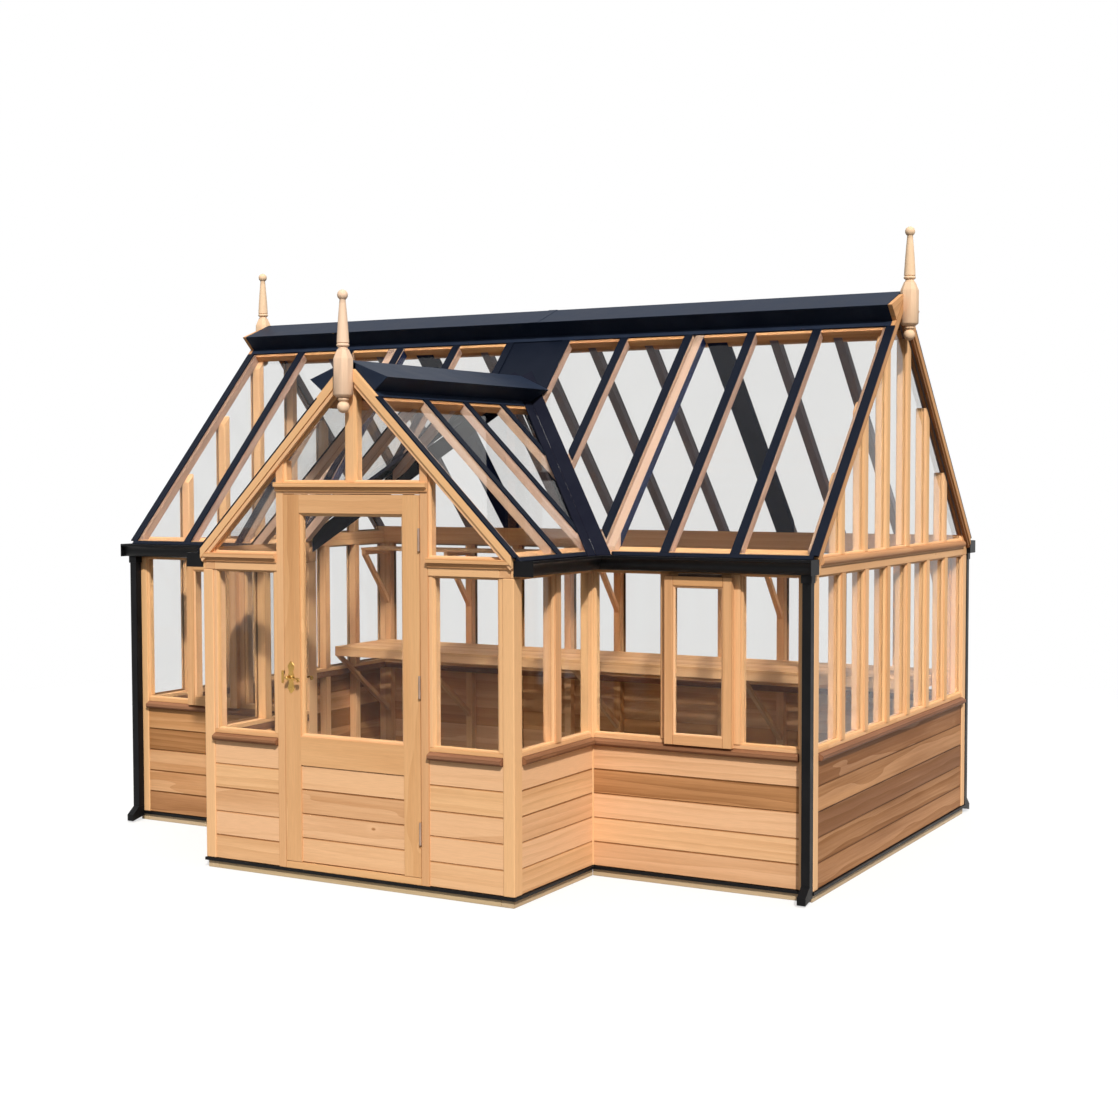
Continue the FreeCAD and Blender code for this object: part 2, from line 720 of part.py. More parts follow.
def build_gables():
    """Band, studs and glass of the two main gables."""
    roll = d.band_roll
    nose = d.band_reach
    corners = [(-d.frame_depth, 0 * roll), (0 * roll, 0 * roll), (0 * roll, roll / 5, nose)]
    corners += [(nose, roll * 3 / 5, nose), (0 * roll, roll), (-d.frame_depth, roll)]
    roll_profile = outline(corners)
    bands = []
    studs = []
    panes = []
    for side, left, right in gable_runs:
        inner = (d.frame_depth, d.house_depth - d.frame_depth)
        bands.append(beam(side, inner, (band_base, band_mid), wall))
        bands.append(moulding(side, roll_profile, inner, band_mid))
        centre = d.house_depth / 2
        block = gable_block(side, centre, main_run, main_tan, main_under, ridge_half)
        seat = gable_block(side, centre, main_run, main_tan, main_under + d.pane_seat, ridge_half)
        up = (band_top, main_apex)
        depth = (-d.frame_depth, -d.stud_recess)
        bars = run_bars(side, left, right)
        uprights = [beam(side, (bar - d.bar_face / 2, bar + d.bar_face / 2), up, depth) for bar in bars]
        studs.append(keep(group(uprights), block))
        edges = [d.frame_depth]
        for bar in bars:
            edges += [bar - d.bar_face / 2, bar + d.bar_face / 2]
        edges.append(d.house_depth - d.frame_depth)
        bays = list(zip(edges[0::2], edges[1::2]))
        sheets = [wall_pane(side, low, high, band_top, main_apex) for low, high in bays]
        panes.append(keep(group(sheets), seat))
    add("gable_bands", bands)
    add("gable_studs", studs)
    add("gable_glass", panes)


def beyond(side_wall, line, hand):
    """Upright block past a line across a gable, to its right for hand +1 or its left for -1."""
    across = (line, line + CUTTER_REACH) if hand == 1 else (line - CUTTER_REACH, line)
    everywhere = (-CUTTER_REACH, CUTTER_REACH)
    return beam(side_wall, across, everywhere, everywhere)


def main_rafters(slope):
    """Rafters of one main slope, from the eave edge to the apex line."""
    up = (0 * main_slope, main_slope)
    out = (-under_layer, -rafter_layer)
    timbers = []
    for bar in main_bars + twin_bars:
        low = bar - d.rafter_face / 2
        high = bar + d.rafter_face / 2
        if bar is main_bars[0]:
            low = -half
            high = d.verge_face - half
        if bar is main_bars[last_bar]:
            low = half - d.verge_face
            high = half
        timbers.append(beam(slope, (low, high), up, out))
    return group(timbers)


def porch_rafters(slope, sign):
    """Rafters of one porch slope; sign is +1 where right runs back along the porch."""
    out = (-under_layer, -rafter_layer)
    timbers = []
    for bar in porch_bars:
        centre = d.rafter_face / 2 - d.porch_depth if bar is porch_verge else bar
        low = sign * centre - d.rafter_face / 2
        timbers.append(beam(slope, (low, low + d.rafter_face), (0 * porch_slope, porch_slope), out))
    return group(timbers)


def wall_shell(side, inner):
    """Upright block outside a line that runs behind the face of a wall."""
    everywhere = (-CUTTER_REACH, CUTTER_REACH)
    return beam(side, everywhere, everywhere, (-inner, CUTTER_REACH))


def pair_channels(slope, side):
    """Folded channels that bind the two rafter pairs of one main slope."""
    t = d.sheet_thick
    edge = d.rafter_face / 2
    up = (0 * main_slope, main_slope)
    cheek = (-under_layer, -rafter_layer)
    channels = []
    for first, last in ((pair_bars[1], twin_bar), (-twin_bar, pair_bars[0])):
        low = first - edge
        high = last + edge
        floor = beam(slope, (low - t, high + t), up, (-under_layer - t, -under_layer))
        cheeks = [beam(slope, (low - t, low), up, cheek), beam(slope, (high, high + t), up, cheek)]
        channels.append(cut(join([floor] + cheeks), wall_shell(side, d.frame_depth)))
    return group(channels)


def build_rafters():
    """Rafters trimmed at the fascias, the ridge beams and the valleys."""
    middle_line = d.house_depth / 2
    past_front = beyond(right_gable, middle_line - ridge_half, 1)
    past_back = beyond(right_gable, middle_line + ridge_half, -1)
    ahead = valley_cutter(d.valley_face / 2, False)
    behind = valley_cutter(-d.valley_face / 2, True)
    front_set = cut(cut(main_rafters(front_slope), wall_shell(front, d.fascia)), past_front)
    back_set = cut(cut(main_rafters(back_slope), wall_shell(back, d.fascia)), past_back)
    add("main_rafters", [cut(front_set, ahead), back_set])
    clear = valley_cutter(d.valley_face / 2 + d.sheet_thick, False)
    front_channels = cut(pair_channels(front_slope, front), past_front)
    add("rafter_channels", [cut(front_channels, clear), cut(pair_channels(back_slope, back), past_back)])
    sets = []
    for slope, side, sign in ((porch_right_slope, porch_right, 1), (porch_left_slope, porch_left, -1)):
        past = beyond(porch_front, sign * ridge_half, -sign)
        trimmed = cut(cut(porch_rafters(slope, sign), wall_shell(side, d.fascia)), past)
        sets.append(cut(trimmed, behind))
    add("porch_rafters", sets)
    main_foot = main_apex - ridge_half * main_tan - main_under
    main_head = main_apex - ridge_half * main_tan - rafter_layer * main_slope / main_run
    across = (middle_line - ridge_half, middle_line + ridge_half)
    beams = [beam(right_gable, across, (main_foot, main_head), (-d.house_length, 0 * half))]
    porch_foot = porch_apex - ridge_half * porch_tan - porch_under
    porch_head = porch_apex - ridge_half * porch_tan - rafter_layer * porch_slope / porch_run
    ridge_end = valley_top + d.porch_depth
    porch_up = (porch_foot, porch_head)
    porch_beam = beam(porch_front, (-ridge_half, ridge_half), porch_up, (-ridge_end, 0 * half))
    beams.append(cut(porch_beam, behind))
    add("roof_beams", beams)


def valley_side(hand):
    """Frame of one valley: right along the valley, up the main slope, out of the roof."""
    foot = spot(hand * porch_run, -d.eave_reach, d.eave_height)
    head = spot(0, valley_top, porch_apex)
    along = (head - foot).normalize()
    return foot, head, along


def build_valleys():
    """Black valley beams and the channels over them, trimmed to the eave lines."""
    everywhere = (-CUTTER_REACH, CUTTER_REACH)
    upright = (0, CUTTER_REACH)
    beams = []
    channels = []
    for hand in (1, -1):
        foot, head, along = valley_side(hand)
        length = value(diagonal(diagonal(porch_run, valley_span), d.porch_rise))
        level = Z.cross(along).normalize()
        timber = Side(foot, along, level)
        drop = rafter_layer * main_slope / main_run
        across = (-d.valley_face / 2, d.valley_face / 2)
        piece = beam(timber, (0, length), across, (-drop - d.valley_depth, -drop))
        inner = porch - d.frame_depth
        corner = (inner, inner + d.house_length) if hand == 1 else (-inner - d.house_length, -inner)
        clear = beam(plan, corner, (-d.house_depth, d.frame_depth), upright)
        past = beam(plan, (-CUTTER_REACH, 0) if hand == 1 else (0, CUTTER_REACH), everywhere, upright)
        beams.append(cut(cut(piece, clear), past))
        porch_pair = (porch_right_slope, porch_right) if hand == 1 else (porch_left_slope, porch_left)
        wings = []
        for slope, side in ((front_slope, front), porch_pair):
            uphill = slope.out.cross(along)
            if uphill.z < 0:
                uphill = uphill * -1
            flat = Side(foot, along, uphill)
            run = (-d.valley_wing * 2, length)
            if flat.out.z < 0:
                flat = Side(head, along * -1, uphill)
                run = (0, length + d.valley_wing * 2)
            wing = beam(flat, run, (0 * d.pane, d.valley_wing), (-d.cap_thick, 0 * d.pane))
            wings.append(cut(wing, wall_shell(side, -d.eave_reach)))
        channels.append(cut(join(wings), past))
    add("valley_channels", channels + beams)


def main_panes(slope, layer):
    """Sheets between the bars of one main slope, as (bay number, sheet)."""
    ridge = main_slope - ridge_half * main_slope / main_run
    up = (d.eave_strip, ridge)
    sheets = []
    edges = [-half] + main_bars[1:last_bar] + [half]
    for bay, (low, high) in enumerate(zip(edges[:-1], edges[1:])):
        start = low if bay == 0 else low + d.pane / 2
        end = high if bay == last_bar - 1 else high - d.pane / 2
        sheets.append(beam(slope, (start, end), up, layer))
    return sheets


def build_roof_glass():
    """Roof glass, and the flashing sheet behind the porch ridge."""
    layer = (-rafter_layer, -glass_layer)
    ahead = valley_cutter(d.pane, False)
    behind = valley_cutter(-d.pane, True)
    sheets = main_panes(front_slope, layer)
    flashing = sheets.pop(len(sheets) // 2)
    add("front_roof_glass", cut(group(sheets), ahead))
    add("porch_flashing", cut(flashing, ahead))
    add("back_roof_glass", main_panes(back_slope, layer))
    panes = []
    ridge = porch_slope - ridge_half * porch_slope / porch_run
    edges = [-d.porch_depth] + porch_bars[1:] + [valley_top]
    for slope, sign in ((porch_right_slope, 1), (porch_left_slope, -1)):
        bays = []
        for bay, (low, high) in enumerate(zip(edges[:-1], edges[1:])):
            start = low if bay == 0 else low + d.pane / 2
            end = high - d.pane / 2
            along = (start, end) if sign == 1 else (-end, -start)
            bays.append(beam(slope, along, (d.eave_strip, ridge), layer))
        panes.append(cut(group(bays), behind))
    add("porch_roof_glass", panes)


def bar_limits(bar):
    """Left and right limits of the rafter or bound pair of rafters on one main bar line."""
    edge = d.rafter_face / 2
    bound = edge + d.sheet_thick
    if bar is main_bars[0]:
        return -half, d.verge_face - half
    if bar is main_bars[last_bar]:
        return half - d.verge_face, half
    if bar is pair_bars[0]:
        return -twin_bar - bound, bar + bound
    if bar is pair_bars[1]:
        return bar - bound, twin_bar + bound
    return bar - edge, bar + edge


def trimmer_up(slope_length, run):
    """Limits of a trimmer up its slope: a little below the apron, the rest behind it."""
    foot = d.apron_half + d.trimmer_show
    head = foot - d.trimmer_face
    return slope_length - foot * slope_length / run, slope_length - head * slope_length / run


def build_trimmers():
    """Short trimmers under the head of the roof glass, between the rafters."""
    out = (-rafter_layer - d.trimmer_depth, -rafter_layer)
    timbers = []
    up = trimmer_up(main_slope, main_run)
    bays = zip(main_bars[:-1], main_bars[1:])
    spans = [(bar_limits(low)[1], bar_limits(high)[0]) for low, high in bays]
    for slope in (front_slope, back_slope):
        timbers += [beam(slope, span, up, out) for span in spans]
    porch_up = trimmer_up(porch_slope, porch_run)
    behind = valley_cutter(-d.valley_face / 2, True)
    starts = [d.rafter_face - d.porch_depth] + [bar + d.rafter_face / 2 for bar in porch_bars[1:]]
    ends = [bar - d.rafter_face / 2 for bar in porch_bars[1:]] + [valley_top]
    for slope, sign in ((porch_right_slope, 1), (porch_left_slope, -1)):
        row = []
        for start, end in zip(starts, ends):
            along = (start, end) if sign == 1 else (-end, -start)
            row.append(beam(slope, along, porch_up, out))
        timbers.append(cut(group(row), behind))
    add("ridge_trimmers", timbers)


def cap_limits(bar):
    """Left and right edges of one main bar cap; an end cap reaches over its barge board."""
    outer = half + d.barge_thick
    if bar is main_bars[0]:
        return -outer, d.cap_face - outer
    if bar is main_bars[last_bar]:
        return outer - d.cap_face, outer
    return bar - d.cap_face / 2, bar + d.cap_face / 2


def build_caps():
    """Black caps over the roof bars, and the drip bars along the glass foot; gives the verge caps."""
    out = (-d.cap_thick, 0 * d.cap_thick)
    head = main_slope - d.apron_half * main_slope / main_run
    wing_plan = d.valley_wing
    ahead = valley_cutter(wing_plan, False)
    behind = valley_cutter(-wing_plan, True)
    verges = []
    for label, slope in (("front_bar_caps", front_slope), ("back_bar_caps", back_slope)):
        caps = [beam(slope, cap_limits(bar), (d.eave_strip, head), out) for bar in main_bars]
        verges += [caps[0], caps[last_bar]]
        row = group(caps)
        add(label, cut(row, ahead) if slope is front_slope else row)
    porch_head = porch_slope - d.apron_half * porch_slope / porch_run
    rows = []
    for slope, sign in ((porch_right_slope, 1), (porch_left_slope, -1)):
        caps = []
        for bar in porch_bars:
            low = sign * bar - d.cap_face / 2
            caps.append(beam(slope, (low, low + d.cap_face), (d.eave_strip, porch_head), out))
        verges.append(caps[0])
        rows.append(cut(group(caps), behind))
    add("porch_bar_caps", rows)
    lip = (-d.eave_lip, 0 * d.eave_lip)
    foot = (0 * d.eave_strip, d.eave_strip)
    main_strips = [beam(front_slope, (porch, half), foot, lip), beam(front_slope, (-half, -porch), foot, lip)]
    strips = [cut(group(main_strips), ahead), beam(back_slope, (-half, half), foot, lip)]
    for slope, along in (
        (porch_right_slope, (-d.porch_depth, d.porch_depth)),
        (porch_left_slope, (-d.porch_depth, d.porch_depth)),
    ):
        strips.append(cut(beam(slope, along, foot, lip), behind))
    add("eave_drip_bars", strips)
    return group(verges)


def hood_profile(rise_tan):
    """Folded sheet following the hood section."""
    t = d.sheet_thick
    lip_drop = d.hood_lip * rise_tan
    corners = [(0 * t, t), (-d.hood_half, -d.hood_drop), (-d.hood_lip, -lip_drop)]
    foot = d.hood_lip - t * 2
    foot_drop = foot * rise_tan
    corners += [(-foot, -foot_drop), (t * 3 - d.hood_half, -d.hood_drop), (0 * t, 0 * t)]
    corners += [(d.hood_half - t * 3, -d.hood_drop), (foot, -foot_drop)]
    corners += [(d.hood_lip, -lip_drop), (d.hood_half, -d.hood_drop)]
    return outline(corners)


def hood_ends(side, rise_tan, out):
    """End plates closing the hood on each side of the finial block, down to the roof slopes."""
    near = d.finial_side / 2
    plates = []
    for hand in (1, -1):
        corners = [(near * hand, -near * d.hood_drop / d.hood_half), (d.hood_half * hand, -d.hood_drop)]
        corners += [(d.hood_lip * hand, -d.hood_lip * rise_tan), (near * hand, -near * rise_tan)]
        plates.append(panel(side, outline(corners), out))
    return plates


def roof_block(slope, length):
    """Everything below one main roof surface."""
    return beam(slope, (-length, length), (-length, length), (-length, 0))


def build_hoods():
    """Ridge hoods with their end plates, and the aprons under their lips."""
    t = d.sheet_thick
    right_top = Side(spot(half, d.house_depth / 2, main_apex), Y, Z)
    left_top = Side(spot(-half, d.house_depth / 2, main_apex), Y * -1, Z)
    add("main_ridge_hood", panel(right_top, hood_profile(main_tan), (-d.house_length, 0 * t)))
    for side in (right_top, left_top):
        add("main_barge_boards", hood_ends(side, main_tan, (0 * t, d.barge_thick)))
    porch_top = Side(spot(0, -d.porch_depth, porch_apex), X, Z)
    deep = d.porch_depth + valley_top
    porch_hood = panel(porch_top, hood_profile(porch_tan), (-deep, 0 * t))
    add("porch_ridge_hood", cut(porch_hood, roof_block(front_slope, d.house_length)))
    add("porch_ridge_hood", hood_ends(porch_top, porch_tan, (0 * t, t)))
    out = (-d.cap_thick, 0 * t)
    stretch = main_slope / main_run
    inner = d.hood_lip - d.cap_face / 2
    up = (main_slope - d.apron_half * stretch, main_slope - inner * stretch)
    add("main_ridge_hood", [beam(slope, (-half, half), up, out) for slope in (front_slope, back_slope)])
    porch_stretch = porch_slope / porch_run
    porch_up = (porch_slope - d.apron_half * porch_stretch, porch_slope - inner * porch_stretch)
    behind = valley_cutter(-d.valley_wing, True)
    for slope, along in (
        (porch_right_slope, (-d.porch_depth, valley_top)),
        (porch_left_slope, (-valley_top, d.porch_depth)),
    ):
        add("porch_ridge_hood", cut(beam(slope, along, porch_up, out), behind))


def barge(slope, along, up, layers, gable, line, hand, wall_side):
    """One raked board from the finial block down to the corner of the wall."""
    piece = beam(slope, along, up, layers)
    block = d.finial_side / 2
    return cut(cut(piece, beyond(gable, line + block * hand, -hand)), wall_shell(wall_side, 0 * block))


def build_barges(verges):
    """Barge boards under the verge caps: a deep upper band and a set-back lower band."""
    upper = (-d.barge_depth, 0 * d.barge_depth)
    lower = (-d.barge_depth - d.barge_lower, -d.barge_depth)
    up = (0 * main_slope, main_slope)
    porch_up = (0 * porch_slope, porch_slope)
    mid = d.house_depth / 2
    fronts = []
    for layers, thick in ((upper, d.barge_thick), (lower, d.barge_thick - d.barge_step)):
        proud = (half, half + thick)
        shy = (-half - thick, -half)
        boards = [
            barge(front_slope, proud, up, layers, right_gable, mid, -1, front),
            barge(back_slope, shy, up, layers, right_gable, mid, 1, back),
            barge(back_slope, proud, up, layers, left_gable, mid, -1, back),
            barge(front_slope, shy, up, layers, left_gable, mid, 1, front),
        ]
        add("main_barge_boards", [cut(board, verges) for board in boards])
        nose = (-d.porch_depth - thick, -d.porch_depth)
        tail = (d.porch_depth, d.porch_depth + thick)
        pair = [
            barge(porch_right_slope, nose, porch_up, layers, porch_front, 0, 1, porch_right),
            barge(porch_left_slope, tail, porch_up, layers, porch_front, 0, -1, porch_left),
        ]
        fronts += [cut(board, verges) for board in pair]
    add("porch_barge_boards", fronts)
    return group(fronts)


def ledge_profile():
    """Moulding: a cove under a rounded nose."""
    r = d.mould_reach
    tall = d.mould_height
    corners = [(0 * r, 0 * r), (r / 3, 0 * r, -r / 1.2), (r * 0.8, tall / 2), (r, tall / 2)]
    corners += [(r, tall * 0.8, r / 3), (r * 0.8, tall), (0 * r, tall)]
    return outline(corners)


def build_porch_front(barges):
    """Door frame, side windows, mouldings and gable glazing of the porch."""
    leaf_edge = d.leaf_width / 2
    inner = leaf_edge + d.leaf_gap
    head_base = leaf_top + d.leaf_gap
    head_top = head_base + d.head_rail
    under = porch_under
    block = gable_block(porch_front, 0, porch_run, porch_tan, under, ridge_half)
    seat = gable_block(porch_front, 0, porch_run, porch_tan, under + d.pane_seat, ridge_half)
    up = (board_base, porch_apex)
    bolt_base = d.lever_height + d.spindle_radius * 2
    notch_deep = d.bolt_throw + d.leaf_gap
    notch = beam(
        porch_front,
        (-inner - notch_deep, -inner),
        (bolt_base - d.leaf_gap, bolt_base + d.bolt_height + d.leaf_gap),
        (-d.leaf_thick, d.leaf_thick),
    )
    right_jamb = beam(porch_front, (inner, jamb_edge), up, wall)
    left_jamb = beam(porch_front, (-jamb_edge, -inner), up, wall)
    jambs = [keep(right_jamb, block), cut(keep(left_jamb, block), notch)]
    behind = (-d.frame_depth, -d.leaf_thick - d.leaf_gap)
    stops = [
        beam(porch_front, (inner - d.stop_face, inner), (d.leaf_base, head_base), behind),
        beam(porch_front, (-inner, d.stop_face - inner), (d.leaf_base, head_base), behind),
    ]
    head = beam(porch_front, (-inner, inner), (head_base, head_top), wall)
    threshold = beam(porch_front, (-inner, inner), (board_base, d.leaf_base - d.leaf_gap), wall)
    add("door_casing", jambs + stops + [head, threshold])
    profile = ledge_profile()
    cornice_base = head_top - d.mould_height
    cornice = moulding(porch_front, profile, (-jamb_edge, jamb_edge), cornice_base)
    frames = []
    panes = []
    ledges = []
    rails = []
    ledge_base = band_top - d.mould_height
    for side, left, right in window_runs:
        left_edge = left + d.window_edge
        right_edge = right - d.window_edge
        tall = (glass_base, head_height)
        depth = (-d.frame_depth, -d.board_recess)
        frames.append(beam(side, (left, left_edge), tall, depth))
        frames.append(beam(side, (right_edge, right), tall, depth))
        panes.append(wall_pane(side, left_edge, right_edge, glass_base, head_height))
        outer = right + d.post_face if value(right) > 0 else right
        start = left if value(right) > 0 else left - d.post_face
        rails.append(beam(side, (start, outer), (head_height, band_top), wall))
        ledges.append(moulding(side, profile, (start, outer), ledge_base))
    add("porch_glass", panes)
    trimmed = [cut(rail, tool) for rail, tool in zip(rails, plate_ends())]
    add("porch_window_frames", frames + [keep(rail, block) for rail in trimmed])
    add("porch_mouldings", [cornice] + [cut(ledge, barges) for ledge in ledges])
    king = beam(
        porch_front,
        (-d.king_face / 2, d.king_face / 2),
        (head_top, porch_apex),
        (-d.frame_depth, -d.pane_recess + d.pane * 4),
    )
    add("porch_window_frames", keep(king, block))
    low = d.king_face / 2
    sheets = [
        wall_pane(porch_front, low, inner, head_top, porch_apex),
        wall_pane(porch_front, -inner, -low, head_top, porch_apex),
        wall_pane(porch_front, jamb_edge, porch - d.frame_depth, band_top, porch_apex),
        wall_pane(porch_front, d.frame_depth - porch, -jamb_edge, band_top, porch_apex),
    ]
    add("porch_glass", keep(group(sheets), seat))


def plate_ends():
    """Blocks where the porch wall plates and fascias run over the front posts."""
    inner = porch - d.frame_depth
    depth = (-d.frame_depth, 0 * d.frame_depth)
    up = (0 * porch, porch_apex)
    right_block = beam(porch_front, (inner, porch + d.frame_depth), up, depth)
    left_block = beam(porch_front, (-porch - d.frame_depth, -inner), up, depth)
    return right_block, left_block


def gutter_profile():
    """Gutter section: upright back, flat floor and an ogee front with a turned lip."""
    w = d.gutter_wall
    deep = d.gutter_depth
    reach = d.gutter_reach
    foot = d.gutter_foot
    swell = (reach - foot) / 1.2
    rise = deep / 2
    turn = (foot + reach) / 2
    brim = deep - w * 4
    corners = [(0 * w, deep), (0 * w, 0 * w), (foot, 0 * w, swell), (turn, rise, -swell), (reach, brim)]
    corners += [(reach, deep), (reach - w * 3, deep), (reach - w * 3, deep - w), (reach - w, deep - w)]
    corners += [(reach - w, brim, swell), (turn - w, rise, -swell), (foot, w), (w, w), (w, deep)]
    return outline(corners)


def corner_cutter(hand, keep_front):
    """Upright wedge on one side of a gutter mitre at an inner corner."""
    reach = value(d.gutter_reach) * 2
    near = value(porch)
    tip = near + reach
    far = [(tip, 0), (near, 0)] if keep_front else [(near, -reach), (near, 0)]
    corners = [(hand * x, y) for x, y in ([(tip, -reach)] + far)]
    if hand * (1 if keep_front else -1) < 0:
        corners.reverse()
    return prism(outline(corners), CUTTER_REACH, plan.at(0, 0, 0), plan.turn)


def build_gutters():
    """Gutters mitred at the inner corners, end plates and downpipes."""
    profile = gutter_profile()
    base = d.eave_height - d.gutter_depth
    end = half + d.gutter_end
    runs = []
    for hand in (1, -1):
        along = (porch, end) if hand == 1 else (-end, -porch)
        runs.append(cut(moulding(front, profile, along, base), corner_cutter(hand, False)))
        side = porch_right if hand == 1 else porch_left
        runs.append(cut(moulding(side, profile, (0 * end, d.porch_depth), base), corner_cutter(hand, True)))
    runs.append(moulding(back, profile, (-end, end), base))
    t = d.gutter_wall
    cap = outline(
        [(0 * t, 0 * t), (d.gutter_reach, 0 * t), (d.gutter_reach, d.gutter_depth), (0 * t, d.gutter_depth)]
    )
    plates = []
    for side, where in ((front, end), (front, -end - t), (back, end), (back, -end - t)):
        plates.append(moulding(side, cap, (where, where + t), base))
    plates.append(moulding(porch_right, cap, (-t, 0 * t), base))
    plates.append(moulding(porch_left, cap, (d.porch_depth, d.porch_depth + t), base))
    add("gutters", runs + plates)
    pipes = []
    for side in (front, back):
        for hand in (1, -1):
            pipes += downpipe(side, hand * (half - d.pipe_corner), base)
    add("downpipes", pipes)


def downpipe(side, where, top):
    """Square pipe, the collar under the gutter and the slanted shoe at the ground."""
    p = d.pipe_side / 2
    near = d.strip_reach + d.pipe_wall
    far = near + d.pipe_side
    collar_base = top - d.collar_height
    pipe = beam(side, (where - p, where + p), (d.shoe_height, collar_base), (near, far))
    c = p + d.collar_reach
    collar_out = (near - d.pipe_wall, far + d.collar_reach)
    collar = beam(side, (where - c, where + c), (collar_base, top), collar_out)
    tip = far + d.shoe_reach
    corners = [(near, d.shoe_height), (near, d.shoe_height / 3), (tip, d.shoe_height / 12)]
    corners += [(tip, d.shoe_height / 2), (far, d.shoe_height)]
    shoe = moulding(side, outline(corners), (where - p, where + p), 0)
    return [pipe, collar, shoe]


def finial_body(label, where):
    """Bevelled block with a turned spire and ball above and a pendant below."""
    body = doc.addObject("PartDesign::Body", label)
    planes = {plane.Role: plane for plane in body.Origin.OriginFeatures}
    s = d.finial_side / 2
    b = d.finial_bevel
    corners = [(s, b - s), (s, s - b), (s - b, s), (b - s, s)]
    corners += [(-s, s - b), (-s, b - s), (b - s, -s), (s - b, -s)]
    block = outline(corners, body, "block_outline")
    block.AttachmentSupport = [(planes["XY_Plane"], "")]
    block.MapMode = "FlatFace"
    pad = body.newObject("PartDesign::Pad", "block")
    pad.Profile = block
    bind(pad, "Length", d.finial_block)
    top = d.finial_block
    # A 3-4-5 triangle sets where each ball meets its neck, so both balls are round about the axis.
    narrow = 3 / 5
    near = 4 / 5
    r = d.ball_radius
    neck = top + r / 2
    ball = neck + d.spire_height
    p = d.pendant_radius
    ring = d.pendant_ring
    drop = ring + p * 6 / 5
    corners = [(0 * r, -drop - p, p), (p * narrow, p * near - drop), (p * narrow, -ring)]
    corners += [(p, -ring), (p, ring), (d.spire_foot * near, top), (d.spire_foot * near, neck)]
    corners += [(d.spire_foot, neck), (d.spire_foot, neck + r / 2)]
    corners += [(r * narrow, ball - r * near, r), (0 * r, ball + r)]
    turned = outline(corners, body, "turned_outline")
    turned.AttachmentSupport = [(planes["XZ_Plane"], "")]
    turned.MapMode = "FlatFace"
    spin = body.newObject("PartDesign::Revolution", "turning")
    spin.Profile = turned
    spin.ReferenceAxis = (turned, ["V_Axis"])
    spin.Angle = 360
    body.Placement = FreeCAD.Placement(where, FreeCAD.Rotation())
    return body


def build_finials():
    """Turned finials over the porch and both main gables."""
    mid = d.house_depth / 2
    main_foot = main_apex - d.finial_drop
    porch_foot = porch_apex - d.finial_drop
    out = half + d.finial_offset
    finials = [
        finial_body("porch_finial", spot(0, -d.porch_depth - d.finial_offset, porch_foot)),
        finial_body("right_finial", spot(out, mid, main_foot)),
        finial_body("left_finial", spot(-out, mid, main_foot)),
    ]
    add("finials", finials)


def brace_profile(tip, top, drop):
    """Sloping brace from under the tip of a bracket arm down to the wall bar behind it."""
    inside = -d.frame_depth
    deep = d.bracket_face * math.sqrt(2)
    return outline([(inside, top - drop), (inside, top - drop + deep), (tip + deep, top), (tip, top)])


def build_staging():
    """Slatted staging and a high slatted shelf along the back wall."""
    inside = d.frame_depth
    reach = half - d.frame_depth - d.bench_end
    slat_gap = (d.bench_depth - d.slat_face * BENCH_SLATS) / (BENCH_SLATS - 1)
    slats = []
    up = (d.bench_height - d.slat_thick, d.bench_height)
    for slat in range(BENCH_SLATS):
        near = -inside - (d.slat_face + slat_gap) * slat
        slats.append(beam(back, (-reach, reach), up, (near - d.slat_face, near)))
    rail_up = (d.bench_height - d.slat_thick - d.bench_rail, d.bench_height - d.slat_thick)
    far = -inside - d.bench_depth
    frame = [
        beam(back, (-reach, reach), rail_up, (far, far + d.slat_thick)),
        beam(back, (-reach, reach), rail_up, (-inside - d.slat_thick, -inside)),
    ]
    f = d.bracket_face
    ends = end_bars(*back_runs[0])
    brackets = [ends[0]] + [-bar for bar in main_bars[2:last_bar:BRACKET_STEP]] + [ends[1]]
    bench_brace = brace_profile(far, rail_up[0], d.bench_brace)
    for bar in brackets:
        across = (bar - f / 2, bar + f / 2)
        frame.append(beam(back, across, rail_up, (far + d.slat_thick, -inside - d.slat_thick)))
        frame.append(moulding(back, bench_brace, across, 0))
    add("bench", slats + frame)
    shelf_gap = (d.shelf_depth - d.slat_face * SHELF_SLATS) / (SHELF_SLATS - 1)
    boards = []
    shelf_up = (shelf_height - d.slat_thick, shelf_height)
    for slat in range(SHELF_SLATS):
        near = -inside - (d.slat_face + shelf_gap) * slat
        boards.append(beam(back, (-reach, reach), shelf_up, (near - d.slat_face, near)))
    arm_top = shelf_height - d.slat_thick
    tip = -inside - d.shelf_depth
    shelf_brace = brace_profile(tip, arm_top - f, d.bracket_drop)
    for bar in brackets:
        across = (bar - f / 2, bar + f / 2)
        boards.append(beam(back, across, (arm_top - f, arm_top), (tip, -inside)))
        boards.append(moulding(back, shelf_brace, across, 0))
    add("shelf", boards)


